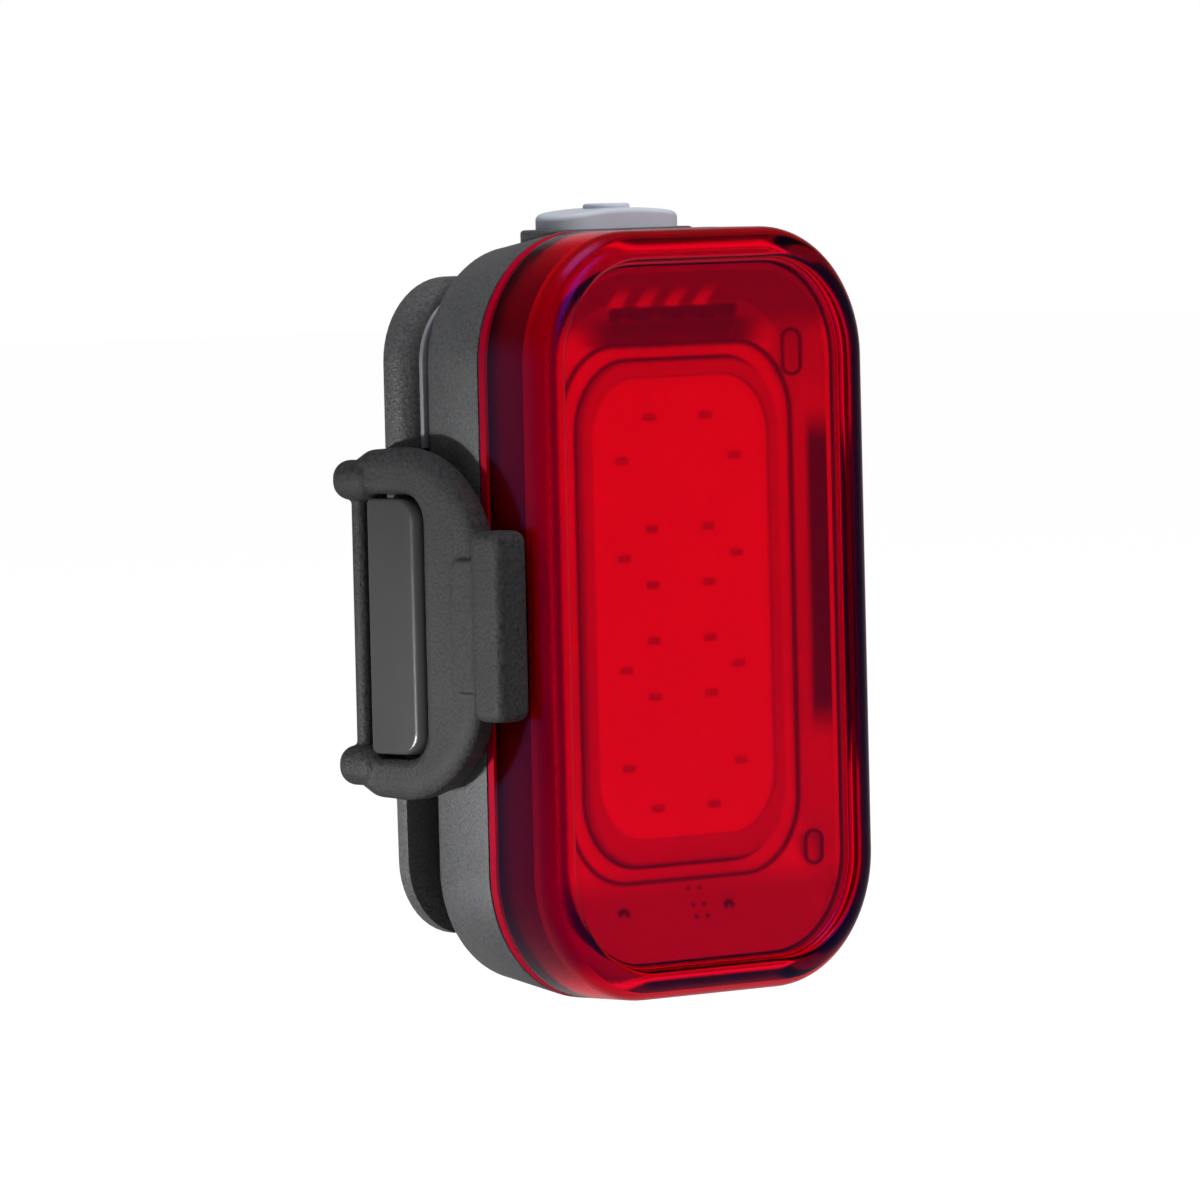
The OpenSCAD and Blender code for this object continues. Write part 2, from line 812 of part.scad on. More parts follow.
module usb_cover() {
    color([0.14, 0.14, 0.15])
    union() {
        intersection() {
            housing_skin();
            column(cover_w, cover_d, cover_r, y_port, -z_top - cut_past, z_recess - pocket_fit);
        }
        column(cover_plug_w, cover_plug_d, cover_plug_d / 2 - fit, y_port, z_recess - fit, z_recess + cover_plug_h);
        rod_x(bead_r, cover_w - 2 * cover_r, y_cover_hinge, z_cover_hinge);
    }
}

// Outline of the clip, drawn in by an inset, between two stations
module clip_outline(r, inset, y_front, y_rear) {
    translate([0, 0, (z_clip_top + z_clip_tip) / 2])
        plate(clip_w - 2 * inset, z_clip_top - z_clip_tip - 2 * inset, r - inset, y_front, y_rear);
}

// Slice of the clip's height that its root takes up
module root_slice(y_front, y_rear) {
    block(clip_w + 2 * cut_past, root_h - moving_fit, 0, z_root + moving_fit / 2, y_front, y_rear);
}

module clip_root() {
    color([0.16, 0.17, 0.18])
    difference() {
        intersection() {
            hull() {
                clip_outline(root_r, 0, -blade_t, 0);
                clip_outline(root_r, root_draft, y_root, -blade_t);
            }
            root_slice(y_root, 0);
        }
        rod_x(blade_t / 2 + fit, clip_w + 2 * cut_past, y_clip_hinge, z_clip_hinge);
        at_clip_screws() rod_y(screw_r + thread_fit, 0, 0, y_root - cut_past, y_back_in + clip_screw_l);
    }
}

module clip_gasket() {
    color([0.55, 0.55, 0.58])
    difference() {
        intersection() {
            clip_outline(root_r, root_draft, y_house, y_root);
            root_slice(y_house, y_root);
        }
        at_clip_screws() rod_y(screw_r + fit, 0, 0, y_house - cut_past, y_root + cut_past);
    }
}

module clip_blade() {
    blade_h = z_clip_hinge - z_clip_tip;
    color([0.16, 0.17, 0.18])
    translate([0, y_clip_hinge, z_clip_hinge])
        rotate([-blade_lean, 0, 0])
            translate([0, -y_clip_hinge, -z_clip_hinge])
                union() {
                    intersection() {
                        clip_outline(blade_r, 0, -blade_t, 0);
                        block(clip_w, blade_h, 0, z_clip_hinge - blade_h / 2, -blade_t, 0);
                    }
                    rod_x(blade_t / 2, clip_w, y_clip_hinge, z_clip_hinge);
                }
}

module clip_screws() {
    color([0.7, 0.7, 0.72])
        at_clip_screws() {
            screw(y_back_in - fit, clip_screw_l);
            rod_y(screw_head_r, 0, 0, y_back_in - screw_head_h, y_back_in);
        }
}

module hook() {
    lip_in = hook_reach - lip_t;
    color([0.05, 0.05, 0.06])
    union() {
        intersection() {
            hook_pocket(0);
            translate([0, y_lip, z_hook - lip_h / 2])
                cube([lip_in + fit, lip_w, lip_h]);
        }
        translate([0, y_lip + lip_w / 2, z_hook])
            side_plate(lip_in, lip_t)
                polygon(rounded(lip_w, lip_h, lip_r));
    }
}

module hook_right() {
    hook();
}

module hook_left() {
    mirror([1, 0, 0])
        hook();
}

module loop_outline() {
    hull()
        for (side = [-1, 1]) {
            translate([bend_y - edge_r, side * (band_h / 2 - edge_r)]) circle(edge_r, $fn = 32);
            translate([mid_loop_y, side * (loop_h / 2 - loop_r)]) circle(loop_r, $fn = 32);
            translate([loop_r - loop_reach, side * front_loop_z]) circle(loop_r, $fn = 32);
        }
}

module eyelet_outline() {
    eyelet_l = bend_y + edge_r - y_lip + eyelet_room_y;
    translate([y_lip - eyelet_room_y + eyelet_l / 2, z_hook - z_strap])
        polygon(rounded(eyelet_l, lip_h + 2 * eyelet_room_z, eyelet_r));
}

// One end of the strap, on the +X side: the loop round its hook and the bend behind it
module strap_end() {
    translate([0, 0, z_strap]) {
        side_plate(loop_in, loop_t)
            difference() {
                loop_outline();
                eyelet_outline();
            }
        for (side = [-1, 1])
            translate([bend_x, bend_y, side * (band_h - edge_h) / 2 - edge_h / 2])
                cylinder(r = edge_r, h = edge_h);
        translate([bend_x - web_set, web_y, edge_h - band_h / 2 - fit])
            cylinder(r = web_r, h = band_h - 2 * edge_h + 2 * fit);
    }
}

module pull_tab() {
    y_front = -loop_reach - grip_reach;
    translate([0, 0, z_strap]) {
        translate([0, y_front + grip_l / 2, 0])
            side_plate(loop_in, loop_t + grip_rise)
                polygon(rounded(grip_l, tab_h, tab_r));
        translate([0, y_front + grip_l + step_l / 2 - tab_r, 0])
            side_plate(loop_in, loop_t + step_rise)
                polygon(rounded(step_l + 2 * tab_r, step_h, tab_r));
    }
}

module strap_fixed_end() {
    color([0.22, 0.22, 0.23])
        strap_end();
}

module strap_tab_end() {
    color([0.22, 0.22, 0.23])
        mirror([1, 0, 0])
            union() {
                strap_end();
                pull_tab();
            }
}

module strap_band() {
    color([0.22, 0.22, 0.23])
    translate([0, 0, z_strap])
        union() {
            for (side = [-1, 1])
                translate([0, bend_y, side * (band_h - edge_h) / 2])
                    side_plate(-band_end, 2 * band_end)
                        polygon(rounded(edge_t, edge_h, edge_round));
            block(2 * band_end, band_h - edge_h, 0, 0, web_y - web_r, web_y + web_r);
        }
}

housing();
lens();
lens_seal();
reflector();
led_board();
led_dam();
led_emitter();
led_chips();
slot_lamps();
board_link();
main_board();
board_screws();
controller_chip();
power_coil();
capacitors();
status_lamp();
tact_switch();
switch_plunger();
button_cap();
battery();
battery_pad();
battery_plug();
lead_positive();
lead_negative();
usb_shell();
usb_tongue();
usb_cover();
clip_root();
clip_gasket();
clip_blade();
clip_screws();
hook_left();
hook_right();
strap_band();
strap_fixed_end();
strap_tab_end();
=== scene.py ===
import json
import math

import bmesh
import bpy
from mathutils import Matrix, Vector

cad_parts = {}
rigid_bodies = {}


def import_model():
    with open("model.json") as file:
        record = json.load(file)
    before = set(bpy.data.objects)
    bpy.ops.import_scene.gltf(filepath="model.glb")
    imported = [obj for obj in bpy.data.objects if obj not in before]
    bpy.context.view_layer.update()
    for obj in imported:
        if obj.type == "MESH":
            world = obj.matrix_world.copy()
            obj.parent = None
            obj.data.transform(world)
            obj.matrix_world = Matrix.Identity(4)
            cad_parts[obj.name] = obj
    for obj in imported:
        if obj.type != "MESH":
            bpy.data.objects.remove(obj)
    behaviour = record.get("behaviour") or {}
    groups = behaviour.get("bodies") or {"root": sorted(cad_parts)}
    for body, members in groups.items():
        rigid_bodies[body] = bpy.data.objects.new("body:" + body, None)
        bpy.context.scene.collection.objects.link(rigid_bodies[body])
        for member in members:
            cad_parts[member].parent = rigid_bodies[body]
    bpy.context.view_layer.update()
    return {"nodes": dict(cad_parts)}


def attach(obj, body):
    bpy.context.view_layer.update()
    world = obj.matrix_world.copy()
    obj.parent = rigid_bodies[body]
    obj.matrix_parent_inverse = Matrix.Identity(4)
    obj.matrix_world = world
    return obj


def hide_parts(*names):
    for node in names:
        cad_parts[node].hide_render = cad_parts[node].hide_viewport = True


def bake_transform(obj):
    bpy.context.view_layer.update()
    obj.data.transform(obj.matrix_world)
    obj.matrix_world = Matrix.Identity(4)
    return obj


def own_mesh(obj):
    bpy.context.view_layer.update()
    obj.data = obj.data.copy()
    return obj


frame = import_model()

scene = bpy.context.scene
scene.view_settings.view_transform = "Standard"
print("frame loaded with", len(frame["nodes"]), "CAD nodes")

# the photo's viewpoint, measured in pixels of a 1200 px frame and in mm
photoView = {
    "azimuth": 44.0, "lift": 2.68, "roll": 1.34,
    "focalPx": 10323, "pxPerMm": 12.7, "middle": (647.3, 610.2), "target": (0, -10.6, 0),
}


def placeCamera(v):
    turn, lift, roll = (math.radians(v[k]) for k in ("azimuth", "lift", "roll"))
    back = Vector((-math.sin(turn) * math.cos(lift), -math.cos(turn) * math.cos(lift), math.sin(lift)))
    right = Vector((math.cos(turn), -math.sin(turn), 0))
    up = back.cross(right)
    across = right * math.cos(roll) - up * math.sin(roll)
    upright = right * math.sin(roll) + up * math.cos(roll)
    target = Vector(v["target"]) / 1000
    eye = target + back * v["focalPx"] / v["pxPerMm"] / 1000
    offset = across * (600 - v["middle"][0]) + upright * (v["middle"][1] - 600)
    axis = (eye - target - offset / v["pxPerMm"] / 1000).normalized()
    sideways = upright.cross(axis).normalized()
    camera = bpy.data.objects.new("camera", bpy.data.cameras.new("camera"))
    turned = Matrix((sideways, axis.cross(sideways), axis)).transposed().to_4x4()
    camera.matrix_world = Matrix.Translation(eye) @ turned
    camera.data.sensor_width = 36
    camera.data.lens = v["focalPx"] / 1200 * 36
    camera.data.clip_start = 0.05
    camera.data.clip_end = 50
    scene.collection.objects.link(camera)
    scene.camera = camera


placeCamera(photoView)
print("camera placed")


def addNode(tree, kind, values=None, **settings):
    node = tree.nodes.new("ShaderNode" + kind)
    for key, value in settings.items():
        setattr(node, key, value)
    for key, value in (values or {}).items():
        if isinstance(value, bpy.types.NodeSocket):
            tree.links.new(value, node.inputs[key])
        else:
            node.inputs[key].default_value = value
    return node


def newFinish(name, sockets):
    material = bpy.data.materials.new(name)
    material.use_nodes = True
    shader = material.node_tree.nodes["Principled BSDF"]
    for key, value in sockets.items():
        shader.inputs[key].default_value = value
    return material, material.node_tree, shader


def tone(colour, factor):
    return (*(min(1, c * factor) for c in colour[:3]), 1)


# mottled colour, roughness and a fine bump from noise on the piece's own coordinates
def grainFinish(name, colour, rough, grain=3500, bump=0.25, depth=0.00002, vary=0.12, roughVary=0.08,
                speckle=0.0, **extra):
    sockets = {"Base Color": (*colour, 1), "Roughness": rough}
    sockets.update({key.replace("_", " "): value for key, value in extra.items()})
    material, tree, shader = newFinish(name, sockets)
    coords = addNode(tree, "TexCoord").outputs["Object"]
    fine = addNode(tree, "TexNoise", {"Vector": coords, "Scale": grain, "Detail": 3.0, "Roughness": 0.6})
    broad = addNode(tree, "TexNoise", {"Vector": coords, "Scale": grain / 14, "Detail": 2.0})
    ramp = addNode(tree, "ValToRGB", {"Fac": broad.outputs["Fac"]})
    ramp.color_ramp.elements[0].position = 0.3
    ramp.color_ramp.elements[0].color = tone(colour, 1 - vary)
    ramp.color_ramp.elements[1].position = 0.7
    ramp.color_ramp.elements[1].color = tone(colour, 1 + vary)
    sheen = addNode(tree, "MapRange", {"Value": fine.outputs["Fac"], "From Min": 0.3, "From Max": 0.7,
                                       "To Min": rough - roughVary, "To Max": rough + roughVary})
    relief = addNode(tree, "Bump", {"Height": fine.outputs["Fac"], "Strength": bump, "Distance": depth})
    flecks = addNode(tree, "MapRange", {"Value": fine.outputs["Fac"], "From Min": 0.3, "From Max": 0.7,
                                        "To Min": 1 - speckle, "To Max": 1 + speckle})
    mixed = addNode(tree, "VectorMath", {0: ramp.outputs["Color"], "Scale": flecks.outputs["Result"]},
                    operation="SCALE")
    tree.links.new(mixed.outputs["Vector"], shader.inputs["Base Color"])
    tree.links.new(sheen.outputs["Result"], shader.inputs["Roughness"])
    tree.links.new(relief.outputs["Normal"], shader.inputs["Normal"])
    return material


satinBlack = grainFinish("satinBlackPlastic", (0.086, 0.087, 0.090), 0.42, grain=4200, bump=1.0,
                         depth=0.00007, vary=0.05, speckle=0.4, Specular_IOR_Level=0.3)
hookBlack = grainFinish("hookBlackPlastic", (0.050, 0.050, 0.051), 0.22, grain=4200, bump=0.04, vary=0.03,
                        roughVary=0.03, Specular_IOR_Level=0.5)
strapRubber = grainFinish("strapRubber", (0.029, 0.029, 0.031), 0.6, grain=3400, bump=1.0, depth=0.0001,
                          vary=0.08, speckle=0.55, Specular_IOR_Level=0.35)
gasketGrey = grainFinish("gasketGrey", (0.24, 0.24, 0.27), 0.5, grain=3600, bump=0.3)
coverRubber = grainFinish("coverRubber", (0.03, 0.03, 0.032), 0.6, grain=4600, bump=0.5)
buttonGrey = grainFinish("buttonGrey", (0.52, 0.56, 0.63), 0.38, grain=3000, bump=0.15, vary=0.05)
lensEdgeRed = grainFinish("lensEdgeRed", (0.38, 0.0, 0.02), 0.5, grain=1800, bump=0.1, vary=0.08,
                          Specular_IOR_Level=0.05)
# the tray's red; painted shade and painted light are laid on it below
trayRedWithPaintedLight = grainFinish("trayRedWithPaintedLight", (0.76, 0.31, 0.28), 0.4, grain=1800, bump=0.1, vary=0.08)
# dark red of the tray's moulded marks, also used for painted shade in the crease and the slot
markAndShadeRed = grainFinish("markAndShadeRed", (0.10, 0.04, 0.04), 0.5, grain=1800, bump=0.1)
# painted shade for the ring in the lens's rounded edge
edgeShade = grainFinish("edgeShade", (0.30, 0.0, 0.03), 0.5, grain=1200, bump=0.1, vary=0.2,
                        Specular_IOR_Level=0.05)
damRed = grainFinish("damRed", (0.60, 0.28, 0.30), 0.4, grain=1500, bump=0.08, vary=0.04)
# painted glow: a faint emission makes the emitter brighter than its colour under the lamps
emitterPaintedGlow = grainFinish("emitterPaintedGlow", (0.64, 0.06, 0.01), 0.4, grain=900, bump=0.06, vary=0.03,
                         Emission_Color=(1, 0.05, 0.0, 1), Emission_Strength=0.17)
chipRed = grainFinish("chipRed", (0.50, 0.04, 0.01), 0.4, grain=2500, bump=0.1)


def softStep(tree, value, start, end):
    return addNode(tree, "MapRange", {"Value": value, "From Min": start, "From Max": end},
                   interpolation_type="SMOOTHSTEP").outputs["Result"]


# lays painted light or painted shade on a finish where all the soft steps (value, start, end) meet
def tintFinish(tree, steps, colour):
    base = tree.nodes["Principled BSDF"].inputs["Base Color"]
    mask = softStep(tree, *steps[0])
    for step in steps[1:]:
        mask = addNode(tree, "Math", {0: mask, 1: softStep(tree, *step)}, operation="MULTIPLY").outputs[0]
    mix = addNode(tree, "Mix", {0: mask, 6: base.links[0].from_socket, 7: (*colour, 1)}, data_type="RGBA")
    tree.links.new(mix.outputs[2], base)


# painted shade and painted light on the tray, each with soft steps (axis, start, end) in metres; the wave
# peaks at each painted glint by the slot
trayPaintedLightAndShade = {
    "glintPitch": 0.00307, "firstGlint": -0.0062,
    # painted shade: the upper and lower walls are darker
    "paintedShadeTop": ([("z", 0.021, 0.0235)], (0.32, 0.13, 0.12)),
    "paintedShadeBottom": ([("z", -0.0195, -0.0225)], (0.42, 0.17, 0.15)),
    # painted shadow on the wall under the slot
    "paintedShadowUnderSlot": ([("z", 0.0205, 0.0213), ("z", 0.0235, 0.0225), ("side", 0.0115, 0.007)], (0.14, 0.06, 0.06)),
    # painted highlight: glints of the slot lamps on the wall above the slot
    "spots": ([("wave", -0.7, 0.6), ("z", 0.0259, 0.0244), ("z", 0.0235, 0.0240),
               ("x", -0.0078, -0.0070), ("x", 0.0046, 0.0038)], (0.85, 0.45, 0.45)),
    # painted reflection: a dark band on the right wall
    "paintedDarkReflection": ([("x", 0.0132, 0.0136), ("x", 0.01446, 0.01436),
                   ("z", 0.016, 0.0125), ("z", -0.011, -0.0075)], (0.10, 0.03, 0.05)),
}
# painted light at the bottom of the lens's edge
paintedLightBelow = {"start": -0.026, "end": -0.0285, "colour": (0.75, 0.0, 0.04)}


# paints shade and light on the tray by place
def paintTrayLightAndShade(tree, v):
    place = addNode(tree, "SeparateXYZ", {"Vector": addNode(tree, "TexCoord").outputs["Object"]}).outputs
    x, z = place["X"], place["Z"]
    side = addNode(tree, "Math", {0: x}, operation="ABSOLUTE").outputs[0]
    pace = 2 * math.pi / v["glintPitch"]
    turns = addNode(tree, "Math", {0: x, 1: pace, 2: -pace * v["firstGlint"]}, operation="MULTIPLY_ADD")
    wave = addNode(tree, "Math", {0: turns.outputs[0]}, operation="COSINE").outputs[0]
    axes = {"x": x, "z": z, "side": side, "wave": wave}
    for name in ("paintedShadeTop", "paintedShadeBottom", "paintedShadowUnderSlot", "spots", "paintedDarkReflection"):
        steps, colour = v[name]
        tintFinish(tree, [(axes[axis], start, end) for axis, start, end in steps], colour)


paintTrayLightAndShade(trayRedWithPaintedLight.node_tree, trayPaintedLightAndShade)


# painted light: the painted shade in the lens's edge turns bright red at the bottom
def paintLightBelow(tree, v):
    z = addNode(tree, "SeparateXYZ", {"Vector": addNode(tree, "TexCoord").outputs["Object"]}).outputs["Z"]
    tintFinish(tree, [(z, v["start"], v["end"])], v["colour"])


paintLightBelow(edgeShade.node_tree, paintedLightBelow)


# clear red moulding, with a faint waviness left by the mould
def clearRedFinish():
    material, tree, shader = newFinish("clearRedPlastic", {
        "Base Color": (1.0, 0.0, 0.05, 1), "Roughness": 0.15, "IOR": 1.49,
        "Transmission Weight": 1.0, "Specular IOR Level": 0.08, "Specular Tint": (0.1, 0.0, 1.0, 1),
    })
    depth = addNode(tree, "VolumeAbsorption", {"Color": (0.9, 0.0, 0.0, 1), "Density": 330.0})
    tree.links.new(depth.outputs["Volume"], tree.nodes["Material Output"].inputs["Volume"])
    coords = addNode(tree, "TexCoord").outputs["Object"]
    waves = addNode(tree, "TexNoise", {"Vector": coords, "Scale": 160.0, "Detail": 1.0})
    relief = addNode(tree, "Bump", {"Height": waves.outputs["Fac"], "Strength": 0.1, "Distance": 0.00005})
    tree.links.new(relief.outputs["Normal"], shader.inputs["Normal"])
    return material


lensRed = clearRedFinish()
print("main finishes ready")

# drawing planes: the direction across, the direction up, and so the way the face looks
planes = {
    "front": ((1, 0, 0), (0, 0, 1)), "rear": ((-1, 0, 0), (0, 0, 1)),
    "top": ((1, 0, 0), (0, 1, 0)), "bottom": ((1, 0, 0), (0, -1, 0)),
    "left": ((0, -1, 0), (0, 0, 1)), "right": ((0, 1, 0), (0, 0, 1)),
}
inward, outward, forward, back = (1, 0), (-1, 0), (0, 1), (0, -1)


# flat face with round corners; all shapes are drawn in mm
def roundedFace(bm, side, centre, width, height, radius, steps=16):
    across, up = (Vector(v) for v in planes[side])
    place = Matrix.Translation(centre) @ Matrix((across, up, across.cross(up))).transposed().to_4x4()
    corners = bmesh.ops.create_grid(bm, x_segments=1, y_segments=1, size=0.5)["verts"]
    bmesh.ops.scale(bm, vec=(width, height, 1), verts=corners)
    bmesh.ops.transform(bm, matrix=place, verts=corners)
    others = set(bm.faces) - set(corners[0].link_faces)
    bmesh.ops.bevel(bm, geom=corners, offset=radius, affect="VERTICES", segments=steps, profile=0.5,
                    material=-1)
    face = next(f for f in bm.faces if f not in others)
    face.normal_update()
    return face


# quarter round between two directions, as small steps of inset and advance
def quarter(radius, start, end, steps=5):
    angles = [math.pi / 2 * k / steps for k in range(steps + 1)]
    path = [[radius * (s * math.sin(a) + e * (1 - math.cos(a))) for s, e in zip(start, end)] for a in angles]
    return [(q[0] - p[0], q[1] - p[1]) for p, q in zip(path, path[1:])]


# grows a wall from a face, one step of inset and advance after the other
def stepFace(bm, face, steps):
    for inset, advance in steps:
        if abs(inset) < 1e-6:
            face = bmesh.ops.extrude_discrete_faces(bm, faces=[face])["faces"][0]
            face.normal_update()
            bmesh.ops.translate(bm, vec=face.normal * advance, verts=list(face.verts))
        else:
            bmesh.ops.inset_individual(bm, faces=[face], thickness=inset, depth=advance, use_even_offset=True)
    return face


# two faces back to back on one outline, each with its own profile
def ringedShell(bm, centre, width, height, radius, frontSteps, rearSteps, steps=16, sides=("front", "rear")):
    front = stepFace(bm, roundedFace(bm, sides[0], centre, width, height, radius, steps), frontSteps)
    rear = stepFace(bm, roundedFace(bm, sides[1], centre, width, height, radius, steps), rearSteps)
    return front, rear


# grows a wall from a rounded face, each step onto an outline of its own: level, across, up, width, height,
# corner, and after the first outline a corner for the far side where it differs
def growOutline(bm, side, rings, steps=12):
    across, up = (Vector(v) for v in planes[side])
    normal = across.cross(up)
    level, a, u, *size = rings[0]
    face = roundedFace(bm, side, across * a + up * u + normal * level, *size[:3], steps)
    for old, new in zip(rings, rings[1:]):
        face = bmesh.ops.extrude_discrete_faces(bm, faces=[face])["faces"][0]
        for vert in face.verts:
            spot = []
            aside = vert.co.dot(across) - old[1]
            for axis, k in ((across, 1), (up, 2)):
                q = vert.co.dot(axis) - old[k]
                was, now = (ring[5] if aside < 0 else ring[-1] for ring in (old, new))
                reach = new[k + 2] / 2 - now + (abs(q) - old[k + 2] / 2 + was) * now / was
                spot.append(new[k] + math.copysign(reach, q))
            vert.co = across * spot[0] + up * spot[1] + normal * new[0]
        face.normal_update()
    return face


# a solid between its first and last outlines
def growSolid(bm, side, rings, steps=12):
    growOutline(bm, side, rings[:1], steps)
    growOutline(bm, side, rings, steps)


# a solid closed upon its first outline, with an opening through it
def growRing(bm, side, rings, steps=12):
    face = growOutline(bm, side, rings + rings[:1], steps)
    bmesh.ops.delete(bm, geom=[face], context="FACES_ONLY")


def settleMesh(bm, sharp=38):
    bmesh.ops.remove_doubles(bm, verts=bm.verts, dist=0.0008)
    bmesh.ops.recalc_face_normals(bm, faces=bm.faces)
    bmesh.ops.scale(bm, vec=(0.001, 0.001, 0.001), verts=bm.verts)
    for face in bm.faces:
        face.smooth = True
    for edge in bm.edges:
        if len(edge.link_faces) == 2 and edge.calc_face_angle(0) > math.radians(sharp):
            edge.smooth = False


def makePiece(bm, name, material, sharp=38):
    settleMesh(bm, sharp)
    mesh = bpy.data.meshes.new(name)
    bm.to_mesh(mesh)
    bm.free()
    mesh.materials.append(material)
    piece = bpy.data.objects.new(name, mesh)
    scene.collection.objects.link(piece)
    return piece


# applies a modifier and drops the helper objects it used
def applyModifier(piece, kind, helpers=(), **settings):
    modifier = piece.modifiers.new("shape", kind)
    for key, value in settings.items():
        setattr(modifier, key, value)
    bpy.context.view_layer.update()
    shaped = bpy.data.meshes.new_from_object(piece.evaluated_get(bpy.context.evaluated_depsgraph_get()))
    piece.modifiers.clear()
    old, piece.data = piece.data, shaped
    bpy.data.meshes.remove(old)
    for helper in helpers:
        bpy.data.objects.remove(helper)


def carve(piece, bm, operation="DIFFERENCE"):
    settleMesh(bm)
    mesh = bpy.data.meshes.new("cutter")
    bm.to_mesh(mesh)
    bm.free()
    cutter = bpy.data.objects.new("cutter", mesh)
    scene.collection.objects.link(cutter)
    applyModifier(piece, "BOOLEAN", [cutter], operation=operation, object=cutter, solver="EXACT")


body = {"width": 35.5, "height": 60, "corner": 10.4, "parting": -10.6}

lens = {
    "front": -18.2, "edge": 1.7, "rim": 0.3, "step": 0.8, "rimEdge": 0.39,
    "rib": ((14.8, 0.06), (15.4, 0.06), (15.9, 0.4), (15.9, 0.95), (14.8, 0.95)),
    "wall": 1.5, "panel": 1.4, "innerEdge": 0.5, "rearEdge": 0.2,
    "seam": 0.65, "seamDeep": 0.6, "seamProud": 0.01,
    "shade": ((16.3, 0.12), (17.0, 0.2), (17.5, 0.47), (17.5, 0.75), (16.3, 0.45)),
}


# outlines that follow the body's, at levels and insets of their own
def insetRings(steps):
    w, h, r = body["width"], body["height"], body["corner"]
    return [(level, 0, 0, w - 2 * e, h - 2 * e, r - e) for level, e in steps]


def buildLens(v):
    bm = bmesh.new()
    depth = body["parting"] - v["front"]
    frontSteps = [
        *quarter(v["rearEdge"], outward, forward, 3),
        (0, depth - v["rearEdge"] - v["edge"]),
        *quarter(v["edge"], forward, inward, 10),
        (v["rim"], 0),
        *quarter(v["rimEdge"], inward, back, 6),
        (0, 2 * v["rimEdge"] - v["step"]),
        *quarter(v["rimEdge"], back, inward, 6),
        (0.05, 0),
    ]
    inner = depth - v["step"] - v["panel"]
    rearSteps = [
        (v["wall"] - v["rearEdge"], 0), (0, v["innerEdge"] - inner),
        *quarter(v["innerEdge"], back, inward, 5), (0.05, 0),
    ]
    inset = v["rearEdge"]
    ringedShell(bm, (0, body["parting"], 0), body["width"] - 2 * inset, body["height"] - 2 * inset,
                body["corner"] - inset, frontSteps, rearSteps, steps=24)
    piece = makePiece(bm, "lensCover", lensRed, sharp=50)
    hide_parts("lens")
    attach(piece, "light")
    # bright welded edge along the parting line
    bm = bmesh.new()
    rear = v["rearEdge"] - body["parting"]
    front, proud, deep = rear + v["seam"], -v["seamProud"], v["seamDeep"]
    growRing(bm, "front", insetRings(((rear, deep), (rear, proud), (front, proud), (front, deep))), 24)
    # rib inside the lens's wall, in front of the housing's tongue
    growRing(bm, "front", insetRings([(level, v["wall"] + inset) for level, inset in v["rib"]]), 24)
    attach(makePiece(bm, "lensEdge", lensEdgeRed), "light")
    # painted shade: a dark ring in the rounded front edge
    bm = bmesh.new()
    growRing(bm, "front", insetRings(v["shade"]), 24)
    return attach(makePiece(bm, "lensPaintedShade", edgeShade), "light")


buildLens(lens)
print("lens made")

housing = {
    "rear": -3.4, "draft": 1.25, "rearEdge": 0.7, "tongueInset": 1.6, "tongue": 4.1, "tongueWall": 1.15,
    "backWall": 1.4, "partingEdge": 0.12,
}
boss = {"width": 15.3, "depth": 6.8, "corner": 2.6, "root": 28, "top": 30.12, "edge": 0.3, "middle": -7.0}
buttonWell = {"width": 13.7, "depth": 5.8, "corner": 2.8, "floor": 28.72, "end": 32}
portRecess = {"width": 11.8, "depth": 4.66, "corner": 1.4, "floor": -28.1, "end": -32, "middle": -7.77}
portMouth = {"width": 9.34, "depth": 3.66, "corner": 1.45, "low": -29, "high": -26}
coverHinge = {"y": -5.64, "z": -29.139, "bead": 0.35, "groove": 0.55}


def columnTool(width, depth, corner, y, low, high, steps=10):
    bm = bmesh.new()
    ringedShell(bm, (0, y, low), width, depth, corner, [(0, high - low)], [], steps, ("top", "bottom"))
    return bm


def rodTool(radius, length, y, z, steps=24):
    bm = bmesh.new()
    bmesh.ops.create_cone(bm, cap_ends=True, segments=steps, radius1=radius, radius2=radius, depth=length)
    bmesh.ops.rotate(bm, cent=(0, 0, 0), matrix=Matrix.Rotation(math.pi / 2, 3, "Y"), verts=bm.verts)
    bmesh.ops.translate(bm, vec=(0, y, z), verts=bm.verts)
    return bm


